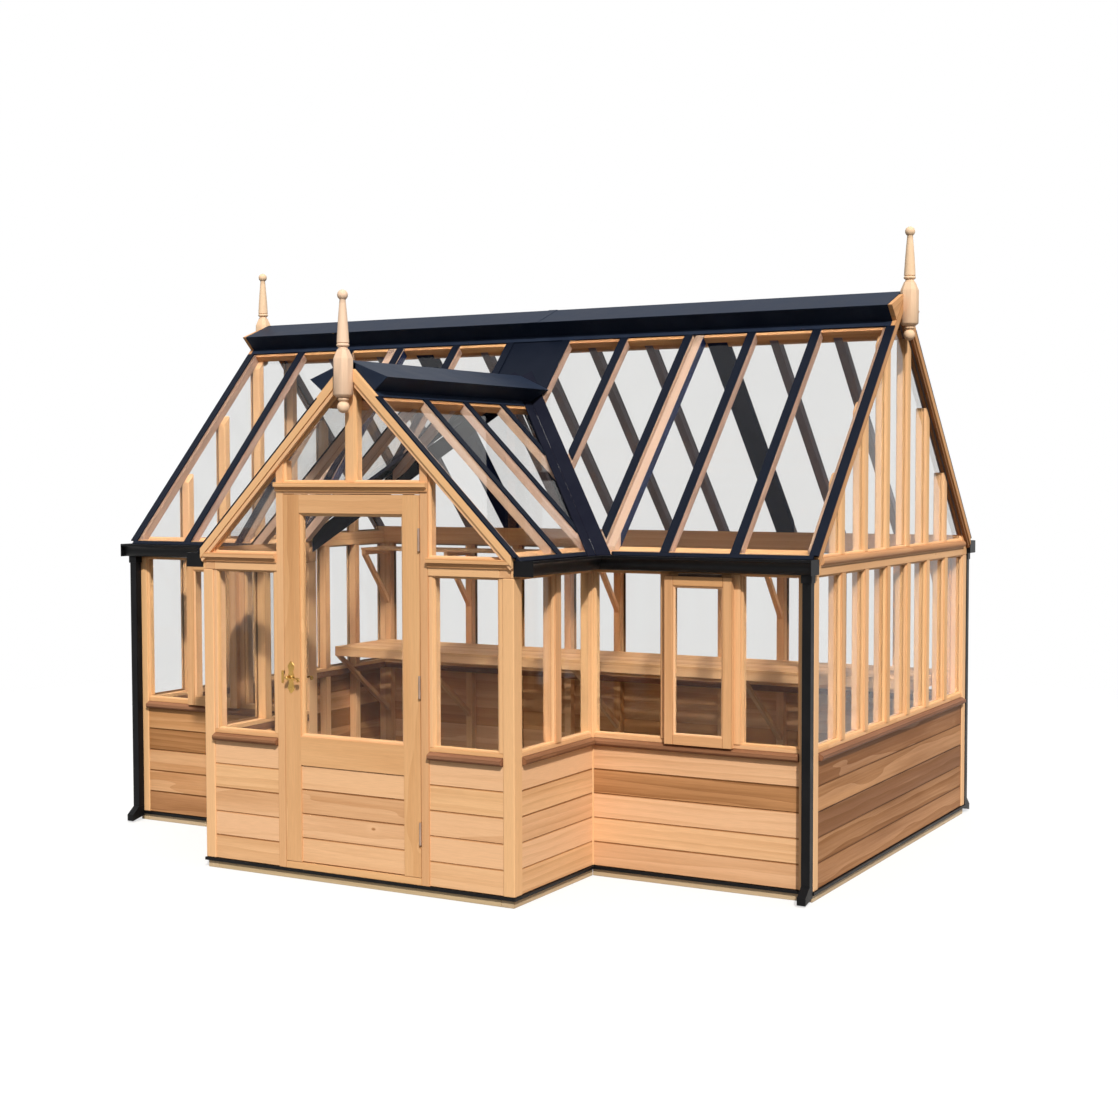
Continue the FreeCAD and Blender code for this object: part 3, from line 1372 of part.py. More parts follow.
def build_door():
    """Door leaf: stiles and rails, boards below the lock rail and one tall pane."""
    edge = d.leaf_width / 2
    inner = edge - d.stile_face
    top = leaf_top
    leaf = (-d.leaf_thick, 0 * edge)
    axis = d.lever_inset - edge
    mid = -d.leaf_thick / 2
    lock = (mid - d.lock_thick / 2, mid + d.lock_thick / 2)
    lock_up = (d.lever_height - d.lock_height / 2, d.lever_height + d.lock_height / 2)
    spindle_hole = rod(porch_front, axis, d.lever_height, leaf, d.spindle_radius + d.pin_play)
    pocket = beam(porch_front, (-edge, d.lock_length - edge), lock_up, lock)
    left_stile = beam(porch_front, (-edge, -inner), (d.leaf_base, top), leaf)
    stiles = [
        beam(porch_front, (inner, edge), (d.leaf_base, top), leaf),
        cut(cut(left_stile, pocket), spindle_hole),
    ]
    rails = [
        beam(porch_front, (-inner, inner), (top - d.top_rail, top), leaf),
        beam(porch_front, (-inner, inner), (d.lock_rail_base, d.lock_rail_top), leaf),
        beam(
            porch_front,
            (-inner, inner),
            (d.leaf_base, d.leaf_base + d.foot_rail),
            (-d.leaf_thick, -d.board_recess - d.board_thick),
        ),
    ]
    add("door_frame", stiles + rails)
    cover = (d.lock_rail_base - d.leaf_base) / DOOR_BOARDS
    profile = board_profile(cover)
    plain_top = beam(
        porch_front,
        (-inner, inner),
        (d.lock_rail_base, d.lock_rail_top),
        (-d.leaf_thick, 0 * edge),
    )
    boards = [
        moulding(porch_front, profile, (-inner, inner), d.leaf_base + cover * course, -d.board_recess)
        for course in range(DOOR_BOARDS)
    ]
    boards[-1] = cut(boards[-1], plain_top)
    add("door_boards", boards)
    add("door_glass", wall_pane(porch_front, -inner, inner, d.lock_rail_top, top - d.top_rail))
    build_lock(axis, lock, lock_up, edge)


def build_lock(axis, lock, lock_up, edge):
    """Lock case in the stile, latch bolt, handle plates and the lever on its spindle."""
    w = d.lock_wall
    case = beam(porch_front, (-edge, d.lock_length - edge), lock_up, lock)
    hollow = beam(
        porch_front,
        (w - edge, d.lock_length - edge - w),
        (lock_up[0] + w, lock_up[1] - w),
        (lock[0] + w, lock[1] - w),
    )
    bolt_base = d.lever_height + d.spindle_radius * 2
    bolt_up = (bolt_base, bolt_base + d.bolt_height)
    mid = (lock[0] + lock[1]) / 2
    bolt_out = (mid - d.bolt_thick / 2, mid + d.bolt_thick / 2)
    mouth = beam(
        porch_front,
        (-edge - w, w * 2 - edge),
        (bolt_up[0] - d.slack, bolt_up[1] + d.slack),
        (bolt_out[0] - d.slack, bolt_out[1] + d.slack),
    )
    bore = rod(porch_front, axis, d.lever_height, (-d.leaf_thick, 0 * edge), d.spindle_radius + d.pin_play)
    lock_case = cut(cut(cut(case, hollow), mouth), bore)
    tail = d.lock_length - w * 2 - d.bolt_throw * 1.5
    add("latch_bolt", beam(porch_front, (-edge - d.bolt_throw, tail - edge), bolt_up, bolt_out))
    plates = []
    for face in ((0 * edge, d.plate_thick), (-d.leaf_thick - d.plate_thick, -d.leaf_thick)):
        plate = panel(porch_front, plate_outline(axis), face)
        hole = rod(porch_front, axis, d.lever_height, face, d.spindle_radius + d.pin_play)
        plates.append(cut(plate, hole))
    add("door_lock", [lock_case] + plates)
    reach = d.lever_stand
    spindle = rod(porch_front, axis, d.lever_height, (-d.leaf_thick - reach, reach), d.spindle_radius)
    arms = []
    rear = -d.leaf_thick - reach
    for face in ((reach - d.lever_thick, reach), (rear, rear + d.lever_thick)):
        arms.append(panel(porch_front, lever_outline(axis), face))
    necks = []
    for face in ((d.plate_thick + d.slack, reach), (rear, -d.leaf_thick - d.plate_thick - d.slack)):
        necks.append(rod(porch_front, axis, d.lever_height, face, d.spindle_radius * 1.9))
    add("lever_handle", join([spindle] + arms + necks))


def plate_outline(axis):
    """Handle plate: pointed ends, and shoulders above and below the lever."""
    half_face = d.plate_face / 2
    long = d.plate_length / 2
    mid = d.lever_height
    shoulder = long / 3
    waist_out = half_face / 2
    waist_up = long * 2 / 3
    corners = [(axis + half_face, mid - shoulder), (axis + half_face, mid + shoulder)]
    corners += [(axis + waist_out, mid + waist_up), (axis, mid + long), (axis - waist_out, mid + waist_up)]
    corners += [(axis - half_face, mid + shoulder), (axis - half_face, mid - shoulder)]
    corners += [(axis - waist_out, mid - waist_up), (axis, mid - long), (axis + waist_out, mid - waist_up)]
    return outline(corners)


def lever_outline(axis):
    """Lever seen from the front: a tapering arm that dips and curls up at its round tip."""
    mid = d.lever_height
    n = d.lever_length
    corners = [(axis - n * 0.11, mid - n * 0.09, n * 0.13), (axis + n * 0.1, mid - n * 0.13)]
    corners += [(axis + n * 0.62, mid - n * 0.2), (axis + n * 0.96, mid - n * 0.17, n * 0.09)]
    corners += [(axis + n * 0.94, mid - n * 0.02), (axis + n * 0.82, mid - n * 0.08)]
    corners += [(axis + n * 0.55, mid - n * 0.07), (axis + n * 0.12, mid + n * 0.11, n * 0.17)]
    return outline(corners)


def hinge(side, right, up, span, radius, pin, plates):
    """Butt hinge along the out direction of a side: its knuckles fixed and moving in turn."""
    step = (span[1] - span[0]) / KNUCKLES
    limits = [(span[0] + step * k, span[0] + step * (k + 1) - d.slack) for k in range(KNUCKLES)]
    halves = []
    for first, plate in enumerate(plates):
        own = [rod(side, right, up, part, radius) for part in limits[first::2]]
        others = [
            rod(side, right, up, (low - d.slack, high + d.slack), radius + d.slack)
            for low, high in limits[1 - first::2]
        ]
        halves.append([cut(plate, group(others))] + own)
    pin_bar = rod(side, right, up, span, pin)
    bore = rod(side, right, up, span, pin + d.pin_play)
    return join(halves[0] + [pin_bar]), cut(join(halves[1]), bore)


def build_door_hinges():
    """Three butt hinges in the gap on the right edge of the door leaf."""
    edge = d.leaf_width / 2
    axis = edge + d.leaf_gap / 2
    forward = d.porch_depth + d.hinge_radius
    t = d.hinge_plate
    fixed_parts = []
    moving_parts = []
    upright = Side(spot(0, 0, 0), X, Y)
    deep = d.leaf_thick * 0.7 - d.porch_depth
    high = leaf_top - d.hinge_drop
    for height in (d.hinge_low, (d.hinge_low + high) / 2, high):
        span = (height - d.hinge_height / 2, height + d.hinge_height / 2)
        plates = [
            beam(upright, (edge + d.leaf_gap - t, edge + d.leaf_gap), (-forward, deep), span),
            beam(upright, (edge, edge + t), (-forward, deep), span),
        ]
        fixed, moving = hinge(upright, axis, -forward, span, d.hinge_radius, d.pin_radius, plates)
        fixed_parts.append(fixed)
        moving_parts.append(moving)
    add("door_hinge_frames", fixed_parts)
    add("door_hinge_leaves", moving_parts)


def build_vents():
    """Top-hung sashes lapped over the middle bay of each wing."""
    fixed_parts = []
    heads = []
    for label, (side, left, right) in zip(("right", "left"), wing_runs):
        low, high = pane_bays(side, left, right)[1]
        heads.append(beam(side, (low, high), (head_height - d.vent_head, head_height), wall))
        start = low - d.sash_lap
        end = high + d.sash_lap
        foot = sill_top + d.sash_foot
        top = head_height - d.sash_head
        out = (d.sash_standoff, d.sash_standoff + d.sash_thick)
        f = d.sash_face
        sash = [
            beam(side, (start, start + f), (foot, top), out),
            beam(side, (end - f, end), (foot, top), out),
            beam(side, (start + f, end - f), (foot, foot + f), out),
            beam(side, (start + f, end - f), (top - f, top), out),
        ]
        add(f"{label}_vent_sash", sash)
        mid = (out[0] + out[1]) / 2
        glass_out = (mid - d.pane / 2, mid + d.pane / 2)
        seat = d.pane_seat
        across = (start + f + seat, end - f - seat)
        add(f"{label}_vent_glass", beam(side, across, (foot + f + seat, top - f - seat), glass_out))
        k = d.vent_knuckle
        axis_out = d.sash_standoff + k
        axis_up = top + k + d.sash_standoff
        t = d.sash_standoff
        lying = Side(side.at(0, 0, 0), side.out, side.up)
        centre = (start + end) / 2
        span = (-centre - d.vent_hinge / 2, d.vent_hinge / 2 - centre)
        plates = [
            beam(lying, (0 * t, t), (axis_up, head_height), span),
            beam(lying, (axis_out, out[1]), (top, top + t), span),
        ]
        fixed, moving = hinge(lying, axis_out, axis_up, span, k, k / 2, plates)
        fixed_parts.append(fixed)
        add(f"{label}_vent_hinges", moving)
    add("vent_hinge_frames", fixed_parts)
    add("wall_bars", heads)


def check(items):
    """Stops if any object failed or any sub-part is empty or unsound."""
    for item in doc.Objects:
        bad = [state for state in item.State if state in ("Invalid", "Error")]
        if bad:
            raise RuntimeError(f"{item.Name} ({item.Label}) is {bad}")
    for label, item in items.items():
        shape = item.Shape
        if shape.isNull() or not shape.isValid() or not shape.Solids:
            raise RuntimeError(f"{label} has no sound solid")


build_base()
build_posts()
build_boards()
build_sills()
build_wall_bars()
build_wall_glass()
build_plates()
build_gables()
build_rafters()
build_valleys()
build_roof_glass()
build_trimmers()
verge_caps = build_caps()
build_hoods()
build_porch_front(build_barges(verge_caps))
build_gutters()
build_finials()
build_staging()
build_door()
build_door_hinges()
build_vents()
nodes = {label: named(label, pieces) for label, pieces in subparts.items()}
doc.recompute()
check(nodes)

os.makedirs("parts", exist_ok=True)
for label, item in nodes.items():
    item.Shape.exportStep(f"parts/{label}.step")
total = sum(len(item.Shape.Solids) for item in nodes.values())
print(len(nodes), "nodes,", total, "solids")
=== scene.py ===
# %% [markdown]
# # A cedar greenhouse with a gabled porch
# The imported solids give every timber, pane and metal strip its place. This lesson
# dresses them: it gives the cedar its grain, the metal its satin coat and the glass its
# clarity, and it adds the turned, moulded and cast details that a plain solid lacks.

# %% Load the frame
import json
import math

import bmesh
import bpy
import numpy as np
from mathutils import Matrix, Vector


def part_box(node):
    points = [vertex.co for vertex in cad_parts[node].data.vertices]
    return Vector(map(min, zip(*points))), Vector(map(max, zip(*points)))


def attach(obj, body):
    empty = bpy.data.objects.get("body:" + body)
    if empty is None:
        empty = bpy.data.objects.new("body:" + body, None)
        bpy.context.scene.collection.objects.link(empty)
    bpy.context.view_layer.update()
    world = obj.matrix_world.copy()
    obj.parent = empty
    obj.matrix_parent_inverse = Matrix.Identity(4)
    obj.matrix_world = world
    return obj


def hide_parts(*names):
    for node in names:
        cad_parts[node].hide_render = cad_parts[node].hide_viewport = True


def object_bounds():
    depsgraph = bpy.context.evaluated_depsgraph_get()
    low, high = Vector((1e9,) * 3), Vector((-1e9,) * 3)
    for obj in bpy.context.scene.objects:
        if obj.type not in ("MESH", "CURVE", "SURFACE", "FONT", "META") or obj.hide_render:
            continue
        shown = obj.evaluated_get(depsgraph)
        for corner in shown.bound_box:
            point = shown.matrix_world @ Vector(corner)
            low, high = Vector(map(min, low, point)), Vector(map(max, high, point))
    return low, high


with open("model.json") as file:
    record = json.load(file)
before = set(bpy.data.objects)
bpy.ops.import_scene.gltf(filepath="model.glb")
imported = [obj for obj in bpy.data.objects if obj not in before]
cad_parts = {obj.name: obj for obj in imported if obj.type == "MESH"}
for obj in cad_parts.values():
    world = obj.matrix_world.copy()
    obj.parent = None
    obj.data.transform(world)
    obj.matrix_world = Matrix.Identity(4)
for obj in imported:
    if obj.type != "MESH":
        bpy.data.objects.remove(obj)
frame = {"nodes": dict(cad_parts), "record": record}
cad_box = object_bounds()
nodes = frame["nodes"]
scene = bpy.context.scene
print("frame:", len(nodes), "nodes, box", [[round(c, 3) for c in corner] for corner in cad_box])

# %% [markdown]
# ## The camera
# The photograph was taken from the front right, at about head height. A camera could be
# aimed by eye, but here the angles were solved from the straight edges of the house, so
# they go straight into the camera's matrix: its right, up and backward directions are the
# columns, and its place is the last one.

# %% Place the camera
YAW, PITCH, ROLL = (math.radians(a) for a in (29.2757, 2.8227, -0.1267))
CAMERA_PLACE = Vector((5.2693, -8.9377, 2.1238))
FOCAL_PIXELS, IMAGE_PIXELS, SENSOR = 1743.263, 1118, 36.0

forward = Vector((-math.sin(YAW) * math.cos(PITCH), math.cos(YAW) * math.cos(PITCH), -math.sin(PITCH)))
level_right = Vector((math.cos(YAW), math.sin(YAW), 0))
level_up = level_right.cross(forward)
right = level_right * math.cos(ROLL) + level_up * math.sin(ROLL)
up = level_up * math.cos(ROLL) - level_right * math.sin(ROLL)
turn = Matrix((right, up, -forward)).transposed().to_4x4()
camera = bpy.data.objects.new("camera", bpy.data.cameras.new("camera"))
camera.data.sensor_width = SENSOR
camera.data.lens = SENSOR * FOCAL_PIXELS / IMAGE_PIXELS
camera.data.clip_end = 100
camera.matrix_world = Matrix.Translation(CAMERA_PLACE) @ turn
scene.collection.objects.link(camera)
scene.camera = camera
print("lens", round(camera.data.lens, 2), "mm")

# %% [markdown]
# ## Small tools for shader nodes
# Every finish below is a handful of nodes. Three helpers keep that readable: one adds a
# node and fills its inputs, whether they are numbers or wires, one opens a material with
# its shader, and one opens a node group with named sockets.


# %% Node helpers
def add_node(tree, kind, inputs=None, **settings):
    """A node of one kind; inputs maps a socket's name or number to a value or to another socket."""
    item = tree.nodes.new("ShaderNode" + kind)
    for name, setting in settings.items():
        setattr(item, name, setting)
    for key, given in (inputs or {}).items():
        if isinstance(given, bpy.types.NodeSocket):
            tree.links.new(given, item.inputs[key])
        else:
            item.inputs[key].default_value = given
    return item


def new_material(name, **shader_values):
    """A material with one Principled shader, and the two ends of its tree."""
    material = bpy.data.materials.new(name)
    material.use_nodes = True
    tree = material.node_tree
    shader = tree.nodes["Principled BSDF"]
    for key, given in shader_values.items():
        shader.inputs[key.replace("_", " ")].default_value = given
    return material, tree, shader


def new_group(name, inputs, outputs):
    """A shader node group with named sockets, and its inner input and output sockets."""
    group = bpy.data.node_groups.new(name, "ShaderNodeTree")
    for label, kind, default in inputs:
        socket = group.interface.new_socket(label, in_out="INPUT", socket_type="NodeSocket" + kind)
        if default is not None:
            socket.default_value = default
    for label, kind in outputs:
        group.interface.new_socket(label, in_out="OUTPUT", socket_type="NodeSocket" + kind)
    return group, group.nodes.new("NodeGroupInput").outputs, group.nodes.new("NodeGroupOutput").inputs


# %% [markdown]
# ## Light and floor
# The photograph shows the house on white, in sun from the front right, so the front and the
# right gable are both bright and the undersides are dark. The world lights the house with
# an even sky above a dark ground, though the camera, the metal and the glass see plain white
# all round, and one sun does the rest. A ray that has left a timber counts as light even
# when it leaves the room through a pane, so it meets the sky and not the white.
# The floor is a pale disc that fades out before its edge can show. Grass throws back far
# less light than paper, so rays that bounce off the house meet a darker floor.

# %% Light the stage
SKY_LEVEL, GROUND_LEVEL, SKY_FADE = 0.5, 0.05, (-0.1, 0.25)

world = bpy.data.worlds.new("studio")
world.use_nodes = True
scene.world = world
sky = world.node_tree
path = add_node(sky, "LightPath").outputs
seen = add_node(sky, "Math", {0: path["Is Camera Ray"], 1: path["Is Glossy Ray"]}, operation="MAXIMUM")
through = add_node(sky, "Math", {0: seen.outputs[0], 1: path["Is Transmission Ray"]}, operation="MAXIMUM")
unlit = add_node(sky, "Math", {0: path["Diffuse Depth"], 1: 0.5}, operation="LESS_THAN")
clear = add_node(sky, "Math", {0: through.outputs[0], 1: unlit.outputs[0]}, operation="MULTIPLY")
bearing = add_node(sky, "SeparateXYZ", {0: add_node(sky, "TexCoord").outputs["Generated"]})
dome = add_node(
    sky, "MapRange",
    {
        "Value": bearing.outputs["Z"], "From Min": SKY_FADE[0], "From Max": SKY_FADE[1],
        "To Min": GROUND_LEVEL, "To Max": SKY_LEVEL,
    },
    interpolation_type="SMOOTHSTEP",
)
level = add_node(sky, "MapRange", {"Value": clear.outputs[0], "To Min": dome.outputs[0], "To Max": 1.0})
background = sky.nodes["Background"]
background.inputs["Color"].default_value = (1, 1, 1, 1)
sky.links.new(level.outputs[0], background.inputs["Strength"])
print("sky:", len(sky.nodes), "nodes")

# %% Hang the sun
SUN_LEVEL, SUN_COLOUR = 3.7, (1.0, 0.97, 0.92)
SUN_FROM, SUN_ANGLE = Vector((1.0, -1.2, 1.45)), math.radians(2.5)

sun = bpy.data.objects.new("sun", bpy.data.lights.new("sun", "SUN"))
sun.data.energy = SUN_LEVEL
sun.data.angle = SUN_ANGLE
sun.data.color = SUN_COLOUR
sun.rotation_euler = SUN_FROM.to_track_quat("Z", "Y").to_euler()
scene.collection.objects.link(sun)
scene.view_settings.view_transform = "Standard"
print("sun from", tuple(round(c, 2) for c in SUN_FROM))

# %% Lay the floor
FLOOR_RADIUS, FLOOR_CORNERS, FLOOR_DROP = 14.0, 96, 0.0005
FADE_START, FADE_END = 4.0, 9.0
PAPER_GLOW, PAPER_WHITE, GRASS_GREY = 0.6, (0.93, 0.93, 0.93, 1), (0.2, 0.2, 0.2, 1)

ring = np.linspace(0, 2 * np.pi, FLOOR_CORNERS, endpoint=False)
rim = np.stack([np.cos(ring), np.sin(ring), np.zeros(FLOOR_CORNERS)], 1) * FLOOR_RADIUS - [0, 0, FLOOR_DROP]
floor_mesh = bpy.data.meshes.new("floor")
floor_mesh.from_pydata(rim.tolist(), [], [list(range(FLOOR_CORNERS))])
floor = bpy.data.objects.new("floor", floor_mesh)
scene.collection.objects.link(floor)
paper, tree, shader = new_material("floor_paper", Base_Color=PAPER_WHITE, Roughness=0.9)
path = add_node(tree, "LightPath").outputs
place = add_node(tree, "TexCoord")
far = add_node(tree, "VectorMath", {0: place.outputs["Object"]}, operation="LENGTH")
fade = add_node(
    tree, "MapRange", {"Value": far.outputs["Value"], "From Min": FADE_START, "From Max": FADE_END},
    interpolation_type="SMOOTHSTEP",
)
dim = add_node(tree, "BsdfDiffuse", {"Color": GRASS_GREY})
after = add_node(tree, "Math", {0: path["Diffuse Depth"], 1: 0.5}, operation="GREATER_THAN")
bounced = add_node(tree, "MixShader", {0: after.outputs[0], 1: shader.outputs[0], 2: dim.outputs[0]})
glow = add_node(tree, "Emission", {"Color": (1, 1, 1, 1), "Strength": 1.0})
share = add_node(tree, "Math", {0: path["Is Camera Ray"], 1: PAPER_GLOW}, operation="MULTIPLY")
lit = add_node(tree, "MixShader", {0: share.outputs[0], 1: bounced.outputs[0], 2: glow.outputs[0]})
see_through = add_node(tree, "BsdfTransparent")
blend = add_node(tree, "MixShader", {0: fade.outputs[0], 1: lit.outputs[0], 2: see_through.outputs[0]})
tree.links.new(blend.outputs[0], tree.nodes["Material Output"].inputs["Surface"])
floor_mesh.materials.append(paper)
print("floor radius", FLOOR_RADIUS, "m")

# %% [markdown]
# ## Cedar
# Cedar is sawn with its grain along each timber, and no two boards match: some are pale
# honey, some salmon and some a dark cocoa. One node group makes the grain from three
# coordinates that each timber carries itself: along the grain, and twice across it. Broad
# bands are the growth rings, which swerve round the odd knot, thin streaks are the fibres
# and a fine noise the pores. Two values per timber set where between the pale and the
# dark end it sits, and how far it leans from honey to rose. Past the dark end the colour
# only gets darker. This serves the darkest boards, and also the painted shade in the bevels'
# grooves and under the verge, so that painted shade shows on a dark board too.

# %% Grain group
cedar_group, given, result = new_group(
    "cedar_grain",
    [
        ("Grain", "Vector", None),
        ("Tone", "Float", 0.5),
        ("Blush", "Float", 0.3),
        ("Pale", "Color", (0.8, 0.5, 0.28, 1)),
        ("Mid", "Color", (0.6, 0.33, 0.16, 1)),
        ("Dark", "Color", (0.3, 0.13, 0.06, 1)),
        ("Streak", "Float", 0.5),
        ("Knots", "Float", 1.0),
    ],
    [("Color", "Color"), ("Roughness", "Float"), ("Height", "Float")],
)
g = cedar_group


def stretched(scale, source=given["Grain"]):
    """The grain coordinates scaled along and across the timber."""
    return add_node(g, "VectorMath", {0: source, 1: scale}, operation="MULTIPLY").outputs[0]


def remapped(wire, low, high, to_low=0.0, to_high=1.0, **settings):
    """A value taken from one range to another, and held inside it."""
    limits = {"Value": wire, "From Min": low, "From Max": high, "To Min": to_low, "To Max": to_high}
    return add_node(g, "MapRange", limits, **settings).outputs[0]


def combined(first, factor, second):
    """first x factor + second."""
    return add_node(g, "Math", {0: first, 1: factor, 2: second}, operation="MULTIPLY_ADD").outputs[0]


# %% Knots and rings
knot = add_node(g, "TexVoronoi", {"Vector": stretched((2.4, 4.0, 4.0)), "Scale": 1.0}).outputs["Distance"]
knot_heart = add_node(
    g, "Math", {0: remapped(knot, 0.012, 0.045, 1, 0, interpolation_type="SMOOTHSTEP"), 1: given["Knots"]},
    operation="MULTIPLY",
).outputs[0]
swerve = remapped(knot, 0.0, 0.16, 0.014, 0.0, interpolation_type="SMOOTHSTEP")
drift = add_node(g, "TexNoise", {"Vector": stretched((0.9, 5, 5)), "Scale": 1.0, "Detail": 2.0})
bend = add_node(g, "VectorMath", {0: drift.outputs["Color"], 1: (0.0, 0.06, 0.06)}, operation="MULTIPLY")
bent = add_node(g, "VectorMath", {0: given["Grain"], 1: bend.outputs[0]}, operation="ADD")
parted = add_node(g, "VectorMath", {0: bent.outputs[0], 1: swerve}, operation="ADD")
rings = add_node(
    g, "TexWave",
    {
        "Vector": stretched((0.22, 8, 8), parted.outputs[0]), "Scale": 1.0, "Distortion": 2.0,
        "Detail": 2.0, "Detail Scale": 1.2,
    },
    wave_type="RINGS", rings_direction="X", wave_profile="SAW",
)
fibres = add_node(
    g, "TexNoise", {"Vector": stretched((1.5, 80, 80)), "Scale": 1.0, "Detail": 4.0, "Roughness": 0.62}
)
pores = add_node(g, "TexNoise", {"Vector": stretched((14, 700, 700)), "Scale": 1.0, "Detail": 1.0})
patch = add_node(g, "TexNoise", {"Vector": stretched((0.6, 7, 7)), "Scale": 1.0, "Detail": 3.0})
ring_part = combined(rings.outputs["Fac"], 0.45, 0.0)
figure = remapped(combined(fibres.outputs["Fac"], 0.9, ring_part), 0.35, 1.0)
print("grain patterns:", len(g.nodes), "nodes")

# %% Grain colour
swing = combined(patch.outputs["Fac"], 0.7, -0.35)
around = combined(figure, given["Streak"], combined(given["Streak"], -0.5, swing))
deep = add_node(g, "Math", {0: given["Tone"], 1: around}, operation="ADD").outputs[0]
deep = combined(knot_heart, 0.9, deep)
first = add_node(
    g, "Mix", {0: remapped(deep, 0.0, 0.5), 6: given["Pale"], 7: given["Mid"]}, data_type="RGBA"
)
second = add_node(
    g, "Mix", {0: remapped(deep, 0.5, 1.0), 6: first.outputs[2], 7: given["Dark"]}, data_type="RGBA"
)
rose = add_node(
    g, "Mix", {0: given["Blush"], 4: (1.0, 1.0, 1.0), 5: (1.0, 1.02, 1.4)}, data_type="VECTOR"
)
speck = remapped(pores.outputs["Fac"], 0.35, 0.65, 0.94, 1.03)
# Past a tone of 1 the colour only gets darker: darkest boards and painted shade alike.
darker_and_shade = remapped(deep, 1.0, 1.9, 1.0, 0.3)
darker_and_shaded = add_node(g, "VectorMath", {0: second.outputs[2], 1: darker_and_shade}, operation="MULTIPLY")
tinted = add_node(g, "VectorMath", {0: darker_and_shaded.outputs[0], 1: rose.outputs[1]}, operation="MULTIPLY")
speckled = add_node(g, "VectorMath", {0: tinted.outputs[0], 1: speck}, operation="MULTIPLY")
g.links.new(speckled.outputs[0], result["Color"])
g.links.new(remapped(figure, 0.0, 1.0, 0.5, 0.66), result["Roughness"])
g.links.new(combined(pores.outputs["Fac"], 0.3, figure), result["Height"])
print("cedar group:", len(g.nodes), "nodes")


# %% Cedar finishes
def cedar(name, pale, mid, dark, streak, knots, relief=0.0004):
    """One cedar finish: the grain group with its own three colours."""
    material, tree, shader = new_material(name, Specular_IOR_Level=0.16)
    wood = add_node(tree, "Group", node_tree=cedar_group)
    grain = add_node(tree, "Attribute", attribute_name="grain")
    tree.links.new(grain.outputs["Vector"], wood.inputs["Grain"])
    for key in ("Tone", "Blush"):
        own = add_node(tree, "Attribute", attribute_name=key.lower())
        tree.links.new(own.outputs["Fac"], wood.inputs[key])
    for key, colour in (("Pale", pale), ("Mid", mid), ("Dark", dark)):
        wood.inputs[key].default_value = (*colour, 1)
    wood.inputs["Streak"].default_value = streak
    wood.inputs["Knots"].default_value = knots
    bump = add_node(tree, "Bump", {"Height": wood.outputs["Height"], "Distance": relief, "Strength": 0.6})
    tree.links.new(wood.outputs["Color"], shader.inputs["Base Color"])
    tree.links.new(wood.outputs["Roughness"], shader.inputs["Roughness"])
    tree.links.new(bump.outputs[0], shader.inputs["Normal"])
    return material


cedar_frame = cedar("cedar_frame", (0.83, 0.49, 0.235), (0.66, 0.345, 0.145), (0.38, 0.16, 0.06), 0.26, 0.5)
cedar_boards = cedar("cedar_boards", (0.84, 0.50, 0.252), (0.58, 0.287, 0.115), (0.25, 0.10, 0.03), 0.28, 0.8)
cedar_dark = cedar("cedar_dark", (0.36, 0.175, 0.088), (0.27, 0.122, 0.058), (0.15, 0.06, 0.027), 0.4, 0.3)
cedar_rafter = cedar("cedar_rafter", (0.66, 0.46, 0.325), (0.53, 0.35, 0.235), (0.3, 0.17, 0.11), 0.26, 0.2)
# A dark grey copy of the cedar for the back slope's rafters: painted shade.
cedar_in_shade = cedar("cedar_in_shade", (0.21, 0.18, 0.19), (0.165, 0.14, 0.15), (0.10, 0.085, 0.09), 0.3, 0.2)
cedar_grey = cedar("cedar_grey", (0.68, 0.51, 0.30), (0.54, 0.39, 0.22), (0.34, 0.22, 0.11), 0.3, 0.3)
finial_wood = cedar("finial_wood", (0.88, 0.63, 0.41), (0.80, 0.54, 0.33), (0.6, 0.36, 0.2), 0.2, 0.0)

# %% [markdown]
# ## Metal and glass
# The cappings, hoods and gutters are aluminium with a satin black coat that shows a faint
# orange peel. The blue in the coats' colours is a painted reflection of the sky: the hoods get
# a brighter, bluer copy of the coat for their sky-facing tops, and the channels' coats are matte
# with the blue painted in. The door furniture is brass and the door's hinges are plated steel;
# the vents' hinges are painted dark, a painted shade for the shadow under the gutter. One group
# gives all of them their clouds of wear. The glass is a clear shader with a slight tint; rays on
# their way to a lamp pass straight through, so the inside of the house is lit as it is behind
# real panes.

# %% Metal group
cloud_group, given, result = new_group(
    "metal_clouds",
    [
        ("Place", "Vector", None),
        ("Smooth", "Float", 0.3),
        ("Dull", "Float", 0.45),
        ("Fresh", "Color", (0.5, 0.5, 0.5, 1)),
        ("Worn", "Color", (0.5, 0.5, 0.5, 1)),
        ("Peel Scale", "Float", 400.0),
    ],
    [("Color", "Color"), ("Roughness", "Float"), ("Height", "Float")],
)
g = cloud_group
cloud = add_node(g, "TexNoise", {"Vector": given["Place"], "Scale": 7.0, "Detail": 4.0}).outputs["Fac"]
mask = remapped(cloud, 0.35, 0.7)
worn = add_node(g, "Mix", {0: mask, 6: given["Fresh"], 7: given["Worn"]}, data_type="RGBA")
gloss = remapped(cloud, 0.3, 0.7, given["Smooth"], given["Dull"])
peel = add_node(g, "TexNoise", {"Vector": given["Place"], "Scale": given["Peel Scale"], "Detail": 1.0})
g.links.new(worn.outputs[2], result["Color"])
g.links.new(gloss, result["Roughness"])
g.links.new(peel.outputs["Fac"], result["Height"])
print("metal group:", len(g.nodes), "nodes")


# %% Metal finishes
PEEL_RELIEF, PEEL_SCALE = 0.0002, 420


